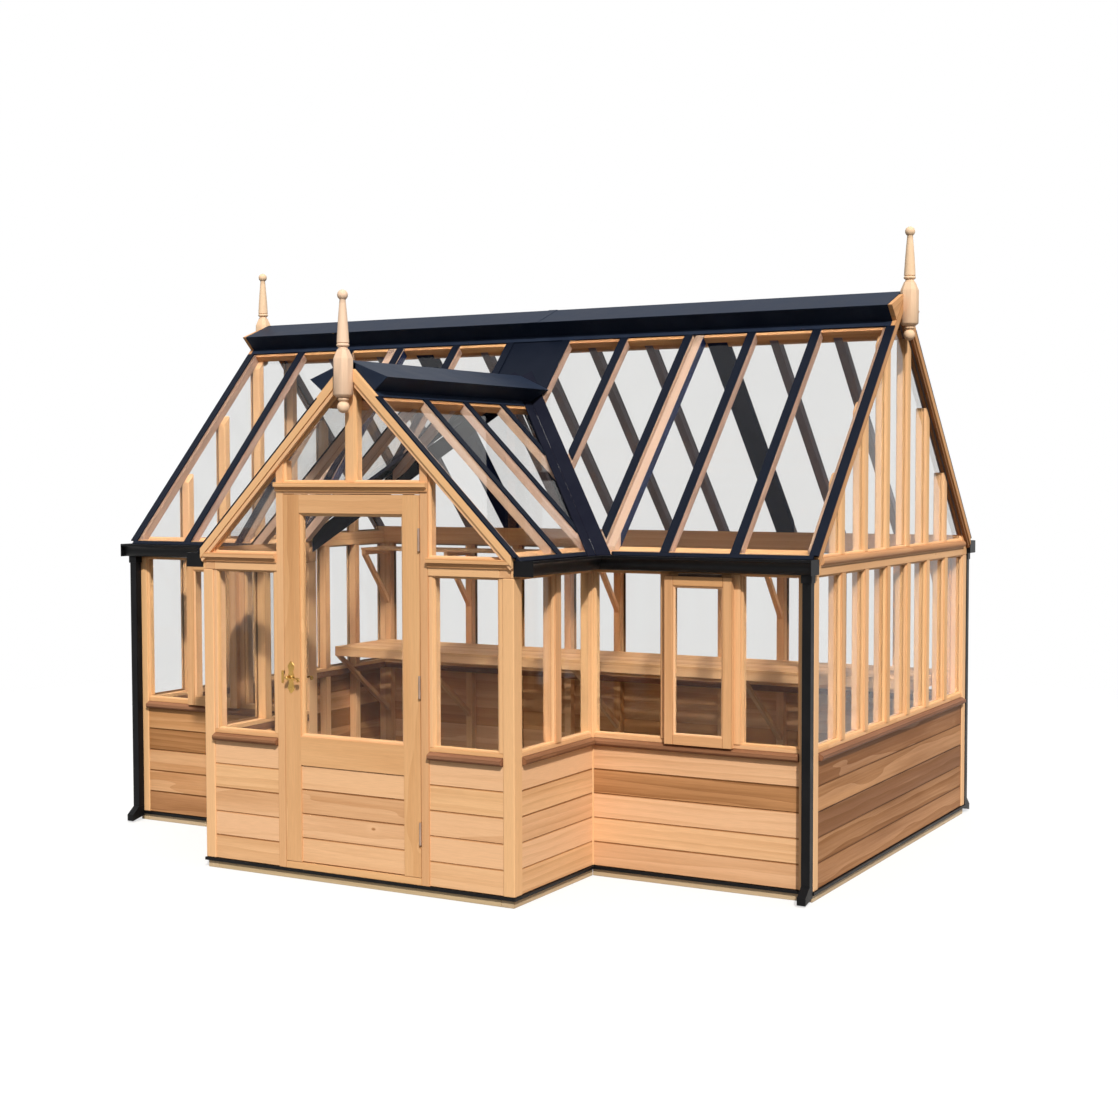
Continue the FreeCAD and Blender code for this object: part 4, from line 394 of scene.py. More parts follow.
def metal(name, fresh, worn, metallic, smooth, dull, relief, peel_scale, **shader_values):
    """A coated or bare metal: two colours and two glosses that meet in soft clouds."""
    material, tree, shader = new_material(name, Metallic=metallic, **shader_values)
    place = add_node(tree, "TexCoord")
    clouds = add_node(tree, "Group", node_tree=cloud_group)
    tree.links.new(place.outputs["Object"], clouds.inputs["Place"])
    values = {"Fresh": (*fresh, 1), "Worn": (*worn, 1)}
    values |= {"Smooth": smooth, "Dull": dull, "Peel Scale": peel_scale}
    for key, value in values.items():
        clouds.inputs[key].default_value = value
    bump = add_node(tree, "Bump", {"Height": clouds.outputs["Height"], "Distance": relief, "Strength": 0.35})
    tree.links.new(clouds.outputs["Color"], shader.inputs["Base Color"])
    tree.links.new(clouds.outputs["Roughness"], shader.inputs["Roughness"])
    tree.links.new(bump.outputs[0], shader.inputs["Normal"])
    return material


def satin_coat(name, fresh, worn, smooth, dull, gleam):
    """A coat on sheet metal, with a fine orange peel."""
    return metal(name, fresh, worn, 0.0, smooth, dull, PEEL_RELIEF, PEEL_SCALE, Specular_IOR_Level=gleam)


# The hoods' coat is a brighter, bluer copy of the caps' coat: a painted sky reflection on their tops.
hood_coat_sky_sheen = satin_coat("hood_coat_sky_sheen", (0.015, 0.022, 0.041), (0.020, 0.029, 0.051), 0.46, 0.54, 0.05)
cap_coat = satin_coat("cap_coat", (0.006, 0.009, 0.018), (0.009, 0.012, 0.022), 0.42, 0.56, 0.06)
gutter_coat = satin_coat("gutter_coat", (0.0055, 0.0057, 0.0065), (0.009, 0.009, 0.010), 0.32, 0.48, 0.1)
# The channels' coats have no gleam, and their blue is a painted sky reflection.
channel_coat = satin_coat("channel_coat", (0.0130, 0.0142, 0.0250), (0.0165, 0.0180, 0.0295), 0.5, 0.6, 0.0)
binding_coat_sky_tint = satin_coat("binding_coat_sky_tint", (0.014, 0.021, 0.060), (0.019, 0.027, 0.070), 0.5, 0.6, 0.0)
brass = metal("brass", (0.50, 0.30, 0.085), (0.30, 0.17, 0.045), 1.0, 0.16, 0.34, 0.0001, 260)
hinge_steel = metal("hinge_steel", (0.44, 0.32, 0.25), (0.32, 0.23, 0.18), 1.0, 0.3, 0.45, 0.0001, 300)
# The vents' hinges are painted dark: painted shade for their place under the gutter.
hinge_dark_shade = metal("hinge_dark_shade", (0.13, 0.085, 0.06), (0.09, 0.06, 0.045), 1.0, 0.4, 0.55, 0.0001, 300)

# %% Glass finish
glass, tree, shader = new_material(
    "clear_glass", Base_Color=(0.868, 0.868, 0.863, 1), Roughness=0.0, IOR=1.2, Specular_IOR_Level=0.2,
    Transmission_Weight=1.0,
)
path = add_node(tree, "LightPath").outputs
pass_through = add_node(tree, "BsdfTransparent", {"Color": (0.79, 0.79, 0.785, 1)}).outputs[0]
lit = add_node(tree, "MixShader", {0: path["Is Shadow Ray"], 1: shader.outputs[0], 2: pass_through})
tree.links.new(lit.outputs[0], tree.nodes["Material Output"].inputs["Surface"])
print("finishes:", [m.name for m in bpy.data.materials])

# %% [markdown]
# ## Telling the solids apart
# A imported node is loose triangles, and many timbers in it touch, so welding every corner
# that shares a place would grow a rail and its stile into one lump. Each timber is a closed
# solid, though, and its triangles come one after another. So along every edge the triangles
# pair up in their order, two for each solid, and a label that spreads over these pairs
# fills exactly one timber.


# %% Solids of a node
WELD_DIGITS = 5


def settle(count, a, b):
    """A group number for every member: the lowest number spreads over the pairs until it settles."""
    label = np.arange(count)
    while True:
        low = np.minimum(label[a], label[b])
        spread = label.copy()
        np.minimum.at(spread, a, low)
        np.minimum.at(spread, b, low)
        spread = spread[spread]
        if np.array_equal(spread, label):
            return np.unique(label, return_inverse=True)[1]
        label = spread


def read_array(collection, key, width, kind=float):
    """One property of every item of a mesh collection, as an array of rows."""
    values = np.empty(len(collection) * width, dtype=kind)
    collection.foreach_get(key, values)
    return values.reshape(-1, width)


def welded_solids(node):
    """Points, triangles and a solid number per point, with corners joined within each solid alone."""
    mesh = nodes[node].data
    places = read_array(mesh.vertices, "co", 3)
    corners = read_array(mesh.loops, "vertex_index", 1, np.int64).ravel()
    spots, spot = np.unique(np.round(places, WELD_DIGITS), axis=0, return_inverse=True)
    tris = spot.ravel()[corners].reshape(-1, 3)
    ends = np.sort(np.stack([tris, np.roll(tris, -1, 1)], 2).reshape(-1, 2), 1)
    owner = np.repeat(np.arange(len(tris)), 3)
    order = np.lexsort((owner, ends[:, 1], ends[:, 0]))
    pairs = owner[order].reshape(-1, 2)
    solid = settle(len(tris), pairs[:, 0], pairs[:, 1])
    keys = solid[:, None] * len(spots) + tris
    names, welded = np.unique(keys, return_inverse=True)
    return spots[names % len(spots)], welded.reshape(-1, 3), names // len(spots)


# %% [markdown]
# ## Timbers with softened edges and their own grain
# A sawn timber's edges are eased with a plane, and that thin bright line is what makes wood
# look like wood. Each solid's triangles are merged into flat faces and its sharp edges are
# bevelled. Then each one gets its grain along its longest edge, with an offset, a tone and a
# blush of its own, as if every board had come off a different log. The middle line of each
# bevel is darker than the faces beside it: painted shade for the groove between timbers.


# %% Ease the edges
SHARP, FLAT = math.radians(25), math.radians(0.6)


def eased_copy(node, ease, segments, wanted=None):
    """The node's solids as flat faces, with every sharp edge bevelled by a small width."""
    points, tris, solid = welded_solids(node)
    if wanted is not None:
        tris = tris[np.isin(solid[tris[:, 0]], wanted)]
    mesh = bpy.data.meshes.new(node)
    mesh.from_pydata(points.tolist(), [], tris.tolist())
    work = bmesh.new()
    work.from_mesh(mesh)
    bmesh.ops.delete(work, geom=[v for v in work.verts if not v.link_faces], context="VERTS")
    bmesh.ops.dissolve_limit(work, angle_limit=FLAT, verts=work.verts, edges=work.edges)
    sharp = [e for e in work.edges if len(e.link_faces) == 2 and e.calc_face_angle(0.0) > SHARP]
    bmesh.ops.bevel(
        work, geom=sharp, offset=ease, offset_type="OFFSET", segments=segments, profile=0.5,
        affect="EDGES", clamp_overlap=True,
    )
    work.to_mesh(mesh)
    work.free()
    mesh.shade_smooth()
    mesh.set_sharp_from_angle(angle=SHARP)
    return mesh


def bevel_middles(mesh, ease):
    """True for the points in the middle of a bevel: every face they touch is narrower than the ease.

    A long strip's width is about twice its area over its outline.
    """
    size = read_array(mesh.polygons, "loop_total", 1, np.int64).ravel()
    face = np.repeat(np.arange(len(size)), size)
    a, b = read_array(mesh.edges, "vertices", 2, np.int64).T
    places = read_array(mesh.vertices, "co", 3)
    length = np.linalg.norm(places[b] - places[a], axis=1)
    outline = np.bincount(face, length[read_array(mesh.loops, "edge_index", 1, np.int64).ravel()])
    width = 2 * read_array(mesh.polygons, "area", 1).ravel() / outline
    widest = np.zeros(len(places))
    np.maximum.at(widest, read_array(mesh.loops, "vertex_index", 1, np.int64).ravel(), width[face])
    return widest < ease


# %% Give every timber its grain
UPRIGHT = 0.9
LOG_SHIFT, BLUSH_MOST = (3, 0.25, 0.25), 0.32


def give_grain(mesh, seed, tones, courses=None, groove_shade=0.0, ease=0.0, shade=0.0):
    """Writes grain = (along, across, across), tone and blush for every vertex, piece by piece.

    Courses are the tones of boards from the top down, in one list or one for each hand of the house.
    A groove shade is painted shade darkening the middle of every bevel of the given ease, and a shade
    is painted shade added at every vertex.
    """
    places = read_array(mesh.vertices, "co", 3)
    a, b = read_array(mesh.edges, "vertices", 2, np.int64).T
    piece = settle(len(places), a, b)
    count = piece.max() + 1
    runs = places[b] - places[a]
    order = np.lexsort((-np.linalg.norm(runs, axis=1), piece[a]))
    longest = order[np.unique(piece[a][order], return_index=True)[1]]
    along = runs[longest] / np.linalg.norm(runs[longest], axis=1, keepdims=True)
    along *= np.where(along.sum(1, keepdims=True) < 0, -1, 1)
    helper = np.where(np.abs(along[:, 2:]) > UPRIGHT, [[1.0, 0, 0]], [[0, 0, 1.0]])
    across = np.cross(helper, along)
    across /= np.linalg.norm(across, axis=1, keepdims=True)
    axes = np.stack([along, across, np.cross(along, across)], 1)
    chance = np.random.default_rng(seed)
    shift = chance.uniform(-4, 4, (count, 3)) * LOG_SHIFT
    grain = np.einsum("vij,vj->vi", axes[piece], places) + shift[piece]
    tone = chance.uniform(tones[0], tones[1], count)
    blush = chance.uniform(0.0, BLUSH_MOST, count)
    if courses:
        middles = np.array([places[piece == k].mean(0) for k in range(count)])
        course = np.unique(-np.round(middles[:, 2], 2), return_inverse=True)[1]
        lists = np.atleast_2d(courses)
        hand = np.minimum(middles[:, 0] < 0, len(lists) - 1).astype(int)
        tone += lists[hand, course % lists.shape[1]]
    # Painted shade: the middles of the bevels and the given shade darken the tone.
    tone = tone[piece] + groove_shade * bevel_middles(mesh, ease) + shade
    mesh.attributes.new("grain", "FLOAT_VECTOR", "POINT").data.foreach_set("vector", grain.ravel())
    for key, values in (("tone", tone), ("blush", blush[piece])):
        mesh.attributes.new(key, "FLOAT", "POINT").data.foreach_set("value", values)
    return count


# %% Piece helpers
def body_of_node(node):
    """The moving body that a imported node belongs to."""
    return next(body for body, members in frame["record"]["behaviour"]["bodies"].items() if node in members)


def slot_of_node(node):
    """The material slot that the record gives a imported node."""
    return next(s["material_slot"] for s in frame["record"]["subparts"] if s["node"] == node)


def finish_piece(name, mesh, finish, body, slot, *stands_for):
    """Links a finished mesh as a piece of the house, riding on its body."""
    mesh.materials.clear()
    mesh.materials.append(finish)
    piece = bpy.data.objects.new(name, mesh)
    scene.collection.objects.link(piece)
    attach(piece, body)
    if stands_for:
        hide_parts(*stands_for)
    return piece


def even_normals(piece):
    """Lets the wide faces of a piece set its normals, so they stay flat up to their bevels."""
    even = piece.modifiers.new("even_normals", "WEIGHTED_NORMAL")
    even.mode = "FACE_AREA"
    even.keep_sharp = True


def dress(node, finish, ease, segments, seed, tones=(0.2, 0.6), courses=None, groove_shade=0.0):
    """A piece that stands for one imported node, with eased edges and its own grain; gives its timbers."""
    mesh = eased_copy(node, ease, segments)
    count = give_grain(mesh, seed, tones, courses, groove_shade, ease)
    piece = finish_piece(f"{node}_dressed", mesh, finish, body_of_node(node), slot_of_node(node), node)
    even_normals(piece)
    return count


# %% [markdown]
# ## Dressing the timbers
# The frame is planed from clear, even stock, so its tones stay close together. The cladding
# is sold unsorted: its courses differ, and each wall gets a list of tones from its top board
# down. The sills are oiled darker. Posts and studs have a wider round than the rest.

# %% Dress the frame timbers
FRAME_TONES, POST_TONES, LEAF_TONES = (0.04, 0.36), (-0.3, -0.1), (0.3, 0.42)
# Shaded tones are painted shade: the ridge trimmers and barge boards darkened where hoods and verges shade
# them.
SHADED_TONES, SILL_TONES = (0.5, 0.7), (0.2, 0.6)
# The middle of every bevel of the frame is darkened, a painted shade for its groove.
FRAME_EASE, FRAME_GROOVE_SHADE, POST_EASE = 0.003, 0.45, 0.007
frame_nodes = [
    "glazing_rails", "wall_bars", "wall_studs", "wall_plates", "fascias", "gable_bands", "roof_beams",
    "door_casing", "porch_mouldings", "bench", "shelf",
]
timbers = 0
for seed, node in enumerate(frame_nodes, start=20):
    timbers += dress(node, cedar_frame, FRAME_EASE, 2, seed, FRAME_TONES, None, FRAME_GROOVE_SHADE)
for seed, node in enumerate(["corner_posts", "gable_studs", "porch_window_frames"], start=50):
    timbers += dress(node, cedar_frame, POST_EASE, 3, seed, POST_TONES)
for seed, node in enumerate(["door_frame", "left_vent_sash", "right_vent_sash"], start=70):
    timbers += dress(node, cedar_frame, FRAME_EASE, 2, seed, LEAF_TONES, None, FRAME_GROOVE_SHADE)
for seed, (node, finish, tones) in enumerate([
    ("ridge_trimmers", cedar_frame, SHADED_TONES),
    ("porch_barge_boards", cedar_frame, POST_TONES),
    ("porch_rafters", cedar_rafter, LEAF_TONES),
    ("plinth", cedar_grey, FRAME_TONES),
    ("sills", cedar_dark, SILL_TONES),
], start=75):
    timbers += dress(node, finish, FRAME_EASE, 2, seed, tones, None, FRAME_GROOVE_SHADE)
print("frame timbers dressed:", timbers)

# %% [markdown]
# ## Barge boards and rafters
# These two nodes hold timbers of more than one colour, so each is parted into pieces, and the
# middle of a timber tells which piece it belongs to. The photograph shows a dark underside
# along the back slope's verge, where it lies in shade, so the lower bands of the barge boards
# there get a painted shade. It also shows the rafters of the back slope slate grey in their
# shade, painted here as a dark grey cedar, and the single rafters of the front slope darker
# than the pairs that are bound together beside the porch, a shade painted as darker tones.


# %% Dress the barge boards
def dress_some(name, node, wanted, finish, seed, tones, groove_shade, *stands_for):
    """A piece made of some of a node's timbers; gives their count."""
    mesh = eased_copy(node, FRAME_EASE, 2, np.flatnonzero(wanted))
    count = give_grain(mesh, seed, tones, None, groove_shade, FRAME_EASE)
    even_normals(finish_piece(name, mesh, finish, "house", "cedar_frame", *stands_for))
    return count


def solids_of(node):
    """The points of every solid of a node, as a list."""
    points, _, solid = welded_solids(node)
    return [points[solid == k] for k in range(solid.max() + 1)]


# Tones past the dark end for the lower bands under the back slope's verge: painted shade.
VERGE_SHADE, LOWER_BAND = (1.2, 1.4), 0.02
ridge_y = np.mean([corner[1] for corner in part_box("main_ridge_hood")])
bands = solids_of("main_barge_boards")
low = np.array([np.ptp(band[:, 0]) < LOWER_BAND and band[:, 1].mean() > ridge_y for band in bands])
for name, wanted, tones, stands_for in (
    ("main_barge_boards_dressed", ~low, SHADED_TONES, ["main_barge_boards"]),
    ("main_barge_boards_shaded", low, VERGE_SHADE, []),
):
    timbers += dress_some(name, "main_barge_boards", wanted, cedar_frame, 75, tones, FRAME_GROOVE_SHADE, *stands_for)
print("barge boards in the verge's shade:", int(low.sum()))

# %% Dress the rafters
# The single rafters of the front slope get darker tones: painted shade on their sides.
SHADED_SINGLE_TONES, PAIR_REACH, FAR_APART = (0.66, 0.84), 0.16, 9.0
middles = np.array([rafter.mean(0) for rafter in solids_of("main_rafters")])
front = middles[:, 1] < ridge_y
apart = np.abs(middles[:, None, 0] - middles[None, :, 0])
apart += FAR_APART * ((front[:, None] != front) | np.eye(len(front), dtype=bool))
bound = front & (apart.min(1) < PAIR_REACH)
for name, finish, wanted, tones, stands_for in (
    ("main_rafters_front", cedar_rafter, front & ~bound, SHADED_SINGLE_TONES, ["main_rafters"]),
    ("main_rafters_bound", cedar_rafter, bound, FRAME_TONES, []),
    ("main_rafters_back", cedar_in_shade, ~front, FRAME_TONES, []),
):
    timbers += dress_some(name, "main_rafters", wanted, finish, 27, tones, 0.0, *stands_for)
print("rafters:", len(front), "of which bound in pairs:", int(bound.sum()))

# %% Dress the boards
# The middle of every bevel of the boards is darkened more, a painted shade for the tongued joints.
BOARD_SPREAD, BOARD_EASE, BOARD_GROOVE_SHADE = (-0.06, 0.06), 0.0044, 0.66
board_courses = {
    "front_boards": ((0.22, 0.68, 0.06, 0.14, 0.28), (0.50, 0.88, 0.42, 0.38, 0.66)),
    "porch_boards": (-0.04, 0.06, 0.12, -0.02, 0.10),
    "gable_boards": (0.98, 0.70, 1.08, 0.86, 0.74),
    "back_boards": (0.30, 0.18, 0.56, 0.24, 0.40),
    "door_boards": (0.0, 0.19, 0.15, 0.0),
}
for seed, (node, courses) in enumerate(board_courses.items(), start=60):
    timbers += dress(node, cedar_boards, BOARD_EASE, 2, seed, BOARD_SPREAD, courses, BOARD_GROOVE_SHADE)
print("timbers dressed:", timbers)

# %% [markdown]
# ## Coats and panes
# The sheet metal is folded, so its edges are only broken. It is dressed as the timbers are,
# with a much finer bevel. Panes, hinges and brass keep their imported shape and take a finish.

# %% Dress the metal and the glass
METAL_EASE = 0.0014
coats = dict.fromkeys(["main_ridge_hood", "porch_ridge_hood"], hood_coat_sky_sheen)
coats |= dict.fromkeys(["porch_flashing", "eave_drip_bars"], cap_coat)
coats |= dict.fromkeys(["front_bar_caps", "back_bar_caps", "porch_bar_caps"], cap_coat)
coats |= dict.fromkeys(["gutters", "downpipes", "drip_strip"], gutter_coat)
coats |= {"valley_channels": channel_coat, "rafter_channels": binding_coat_sky_tint}
for seed, (node, coat) in enumerate(coats.items(), start=100):
    dress(node, coat, METAL_EASE, 2, seed)
bare_finishes = {"glass": glass, "brass": brass, "hinge_steel": hinge_steel}
for node, item in nodes.items():
    finish = bare_finishes.get(slot_of_node(node))
    if finish:
        item.data.materials.clear()
        # Vent hinges take the dark finish, a painted shade.
        item.data.materials.append(hinge_dark_shade if "vent_hinge" in node else finish)
print("coats:", len(coats))

# %% [markdown]
# ## Glazing beads
# Every pane is held by four thin sticks, mitred at the corners and moulded to a quarter
# round, and they draw the fine double line round each window. A stick is a profile carried
# along one edge of the pane. At a corner the profile is spread along the mitre, the line
# that halves the angle, so the two sticks that meet there share one cut. The raked beads
# under the back slope's verge get the same painted shade as its barge boards.


# %% Bead helpers
ROOM_MIDDLE = (np.array(cad_box[0]) + np.array(cad_box[1])) / 2
SAME_PLANE = 1e-4


def quarter_round(width, rise, steps=4):
    """Closed bead section, as (distance in from the pane's edge, height off the glass).

    A square foot carries a quarter of an ellipse from the inner edge up to the top.
    """
    foot, shoulder = 0.25, 0.3
    turn = np.linspace(0, np.pi / 2, steps)
    across = width * (shoulder + (1 - shoulder) * np.cos(turn))
    upward = rise * (foot + (1 - foot) * np.sin(turn))
    return np.concatenate([[[0, 0], [width, 0]], np.stack([across, upward], 1), [[0, rise]]])


def pane_corners(points, middle, side):
    """Corners of a pane's face in turn, and the way it faces.

    The thinnest side of the pane gives its normal, pointing away from the middle of the room
    (side 1) or towards it (side -1). Its corners are sorted by their bearing.
    """
    axis = np.argmin(np.ptp(points, axis=0))
    way = side * np.sign(points[:, axis].mean() - middle[axis])
    normal = np.eye(3)[axis] * way
    across, upward = np.eye(3)[(axis + 1) % 3], np.eye(3)[(axis + 2) % 3] * way
    face = points[np.abs((points - points[np.argmax(points @ normal)]) @ normal) < SAME_PLANE]
    arm = face - face.mean(0)
    return face[np.argsort(np.arctan2(arm @ upward, arm @ across))], normal


# %% Mitred sticks
RAKED, BEAD_TONES = 0.05, (0.0, 0.22)


def mitred_sticks(corners, normal, section):
    """Points of the sticks along every side of a pane, as sides x ends x section points."""
    side = np.roll(corners, -1, 0) - corners
    side /= np.linalg.norm(side, axis=1, keepdims=True)
    inward = np.cross(normal, side)
    before = np.roll(inward, 1, 0)
    mitre = (inward + before) / (1 + (inward * before).sum(1, keepdims=True))
    rows = corners[:, None] + section[:, :1] * mitre[:, None] + section[:, 1:] * normal
    return np.stack([rows, np.roll(rows, -1, 0)], 1)


def stick_faces(count, size):
    """Faces of closed sticks: a quad per side of the section, and the two cut ends."""
    step = np.arange(size)
    following = (step + 1) % size
    quad = np.stack([step, following, size + following, size + step], 1)
    base = np.arange(count)[:, None] * 2 * size
    quads = (base[:, :, None] + quad).reshape(-1, 4)
    return quads.tolist() + (base + step[::-1]).tolist() + (base + size + step).tolist()


def bead_panes(name, node, section, sides, seed):
    """Beads round every pane of a node, on the outside, the inside or both."""
    faces = [pane_corners(pane, ROOM_MIDDLE, side) for pane in solids_of(node) for side in sides]
    sticks = np.concatenate([mitred_sticks(corners, normal, section) for corners, normal in faces])
    mesh = bpy.data.meshes.new(name)
    mesh.from_pydata(sticks.reshape(-1, 3).tolist(), [], stick_faces(len(sticks), len(section)))
    run = np.ptp(sticks.mean(2), axis=1)
    raked = (run[:, 1] > RAKED) & (run[:, 2] > RAKED)
    # Raked beads behind the ridge get the verge's painted shade.
    under_verge = raked & (sticks.mean((1, 2))[:, 1] > ridge_y)
    shade = np.repeat(under_verge * VERGE_SHADE[0], 2 * len(section))
    give_grain(mesh, seed, BEAD_TONES, shade=shade)
    finish_piece(name, mesh, cedar_frame, body_of_node(node), "cedar_frame")
    return len(sticks)


# %% Bead the panes
wall_bead = quarter_round(0.011, 0.014)
sash_bead = quarter_round(0.010, 0.009)
door_bead = quarter_round(0.016, 0.017)
sticks = 0
for seed, node in enumerate(["front_glass", "porch_glass", "gable_glass", "back_glass"], start=200):
    sticks += bead_panes(f"{node}_beads", node, wall_bead, (1,), seed)
for seed, node in enumerate(["left_vent_glass", "right_vent_glass"], start=210):
    sticks += bead_panes(f"{node}_beads", node, sash_bead, (1,), seed)
sticks += bead_panes("door_glass_beads", "door_glass", door_bead, (1, -1), 215)
print("bead sticks:", sticks)

# %% [markdown]
# ## Turned finials
# Each finial is one length of timber: an eight-sided block with sloping shoulders, a turned
# spire with a ball above it, and a ring with a ball pendant below. A lathe is a section
# carried up a straight path while its size follows the turner's outline, so one function
# carries both the circle of the turned parts and the bevelled square of the block.


# %% Carry a section along a path
AXIS_X, AXIS_Y, AXIS_Z = np.eye(3)


def carried(section, spots, wide, deep):
    """Points and faces of a closed section carried along a path, with both ends capped.

    point[i, j] = spots[i] + section[j, 0] x wide[i] + section[j, 1] x deep[i], where wide[i] and
    deep[i] are the section's two directions at that step, already multiplied by its size.
    """
    points = spots[:, None] + section[:, :1] * wide[:, None] + section[:, 1:] * deep[:, None]
    rows, size = points.shape[:2]
    grid = np.arange(rows * size).reshape(rows, size)
    after = np.roll(grid, -1, 1)
    quads = np.stack([grid[:-1], after[:-1], after[1:], grid[1:]], 2).reshape(-1, 4)
    return points.reshape(-1, 3), quads.tolist() + [grid[0][::-1].tolist(), grid[-1].tolist()]


def joined(parts):
    """Several (points, faces) pairs as one."""
    starts = np.cumsum([0] + [len(points) for points, _ in parts])
    faces = [
        [start + corner for corner in face] for start, (_, group) in zip(starts, parts) for face in group
    ]
    return np.concatenate([points for points, _ in parts]), faces


# %% Lathe helpers
def round_section(corners):
    """A circle of radius one, as points in turn."""
    angle = np.linspace(0, 2 * np.pi, corners, endpoint=False)
    return np.stack([np.cos(angle), np.sin(angle)], 1)


def turned(outline, foot, corners=40):
    """A lathe: a circle carried up from a foot point, with the outline's radius at each height."""
    radius, height = np.array(outline).T[:, :, None]
    return carried(round_section(corners), foot + height * AXIS_Z, radius * AXIS_X, radius * AXIS_Y)


def bulge(radius, middle, reach, start, end, steps=9):
    """Part of a turned bead: points on a circle of the given radius, from one bearing to another."""
    angle = np.radians(np.linspace(start, end, steps))
    return np.stack([reach + radius * np.cos(angle), middle + radius * np.sin(angle)], 1)


def piece_mesh(name, parts, smooth_below=SHARP):
    """A mesh from (points, faces) pairs, smooth where its faces meet at a low angle."""
    points, faces = joined(parts)
    mesh = bpy.data.meshes.new(name)
    mesh.from_pydata(points.tolist(), [], faces)
    mesh.shade_smooth()
    mesh.set_sharp_from_angle(angle=smooth_below)
    return mesh


# %% Draw the finial's outlines
BLOCK_HALF, BLOCK_BEVEL, BLOCK_TALL = 0.045, 0.022, 0.242
PENDANT_DROP, PENDANT_BALL = 0.0782, 0.031
SPIRE_TALL, SPIRE_BALL = 0.2735, 0.027
CONE_RADII, CONE_SWELL = (0.0315, 0.0155), 0.0012
TIP, TURNED_SMOOTH = 0.0003, math.radians(40)

flat = BLOCK_HALF - BLOCK_BEVEL
block_section = np.array([
    (BLOCK_HALF, -flat), (BLOCK_HALF, flat), (flat, BLOCK_HALF), (-flat, BLOCK_HALF),
    (-BLOCK_HALF, flat), (-BLOCK_HALF, -flat), (-flat, -BLOCK_HALF), (flat, -BLOCK_HALF),
])
block_steps = [(0.66, 0.0), (0.94, 0.012), (1.0, 0.017), (1.0, 0.193), (0.97, 0.199), (0.60, 0.242)]
pendant_middle = PENDANT_BALL - PENDANT_DROP
pendant_outline = np.concatenate([
    bulge(PENDANT_BALL, pendant_middle, TIP, -89, 52, 18),
    bulge(0.0065, -0.0085, 0.0225, -70, 70, 7),
    [(0.020, 0.004)],
])
ball_middle = BLOCK_TALL + SPIRE_TALL
cone_height = np.linspace(0.034, SPIRE_TALL - 0.024, 10)
cone_turn = np.pi * (cone_height - cone_height[0]) / np.ptp(cone_height)
cone_radius = np.interp(cone_height, cone_height[[0, -1]], CONE_RADII) + CONE_SWELL * np.sin(cone_turn)
spire_outline = np.concatenate([
    [(0.024, BLOCK_TALL - 0.003)],
    bulge(0.004, BLOCK_TALL + 0.004, 0.0215, -40, 40, 4),
    [(0.0225, BLOCK_TALL + 0.010)],
    bulge(0.0085, BLOCK_TALL + 0.022, 0.0245, -80, 80, 8),
    np.stack([cone_radius, BLOCK_TALL + cone_height], 1),
    bulge(SPIRE_BALL, ball_middle, TIP, -52, 89, 18),
])
print("outline points:", len(pendant_outline), "and", len(spire_outline))

# %% Turn the finials
FINIAL_TONES = (0.1, 0.3)
size, height = np.array(block_steps).T[:, :, None]
parts = []
for finial in solids_of("finials"):
    low, high = finial.min(0), finial.max(0)
    foot = np.array([(low[0] + high[0]) / 2, (low[1] + high[1]) / 2, low[2] + PENDANT_DROP])
    parts.append(carried(block_section, foot + height * AXIS_Z, size * AXIS_X, size * AXIS_Y))
    parts.append(turned(pendant_outline, foot))
    parts.append(turned(spire_outline, foot))
finial_mesh = piece_mesh("finials_turned", parts, TURNED_SMOOTH)
give_grain(finial_mesh, 90, FINIAL_TONES)
finish_piece("finials_turned", finial_mesh, finial_wood, "house", "finial_wood", "finials")
print("finial faces:", len(finial_mesh.polygons))

# %% [markdown]
# ## The joint of the long hood
# Sheet comes in lengths, so the hood over the main ridge is two folded lengths that meet in the
# middle under a thin cover strip. The strip is a flat section carried over the hood's five fold
# lines. At each fold its thickness follows the line that halves the angle, as it does for a bead.


# %% Cover the joint
def folded_strip(line, x, wide, thick):
    """A flat strip laid over a folded sheet, given by its (y, z) line, at one x."""
    run = np.diff(line, axis=0)
    run /= np.linalg.norm(run, axis=1, keepdims=True)
    outward = np.stack([-run[:, 1], run[:, 0]], 1)
    before, after = outward[[0, *range(len(outward))]], outward[[*range(len(outward)), -1]]
    mitre = (before + after) / (1 + (before * after).sum(1, keepdims=True))
    spots = np.insert(line, 0, x, axis=1)
    section = np.array([(-0.5, 0), (0.5, 0), (0.5, 1), (-0.5, 1)])
    across = np.repeat([[-wide, 0, 0]], len(line), axis=0)
    return carried(section, spots, across, thick * np.insert(mitre, 0, 0, axis=1))


HOOD_LINE = ((0.2365, 2.9467), (0.1535, 3.025), (0.3955, 3.118), (0.6375, 3.025), (0.5545, 2.9467))
STRIP_X, STRIP_WIDE, STRIP_THICK = 0.0, 0.06, 0.0018
strip_mesh = piece_mesh("hood_joint", [folded_strip(np.array(HOOD_LINE), STRIP_X, STRIP_WIDE, STRIP_THICK)])
finish_piece("hood_joint", strip_mesh, hood_coat_sky_sheen, "house", slot_of_node("main_ridge_hood"))
print("hood joint faces:", len(strip_mesh.polygons))

# %% [markdown]
# ## Door furniture
# The lever is cast brass: a round neck, an arm that dips and swells, and a scroll at its end.
# The arm is a circle carried along a path, whose middle is one dip of a cosine wave and whose
# end is a spiral that tightens. The plate behind it has three lobes and a point at each end,
# so its half width is a wave too, and its front is gently domed.


# %% Cast the levers
LEVER_X, LEVER_Z, LEVER_STAND = -0.384, 1.062, 0.034
ARM_REACH, ARM_DIP, ARM_DEEP = 0.070, 0.007, 1.35
SCROLL_START, SCROLL_END, SCROLL_STEPS = 0.0095, 0.0035, 26
PLATE_THICK, PLATE_HALF, PLATE_TALL = 0.003, 0.023, 0.085

leaf_front, leaf_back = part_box("door_frame")[0][1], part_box("door_frame")[1][1]


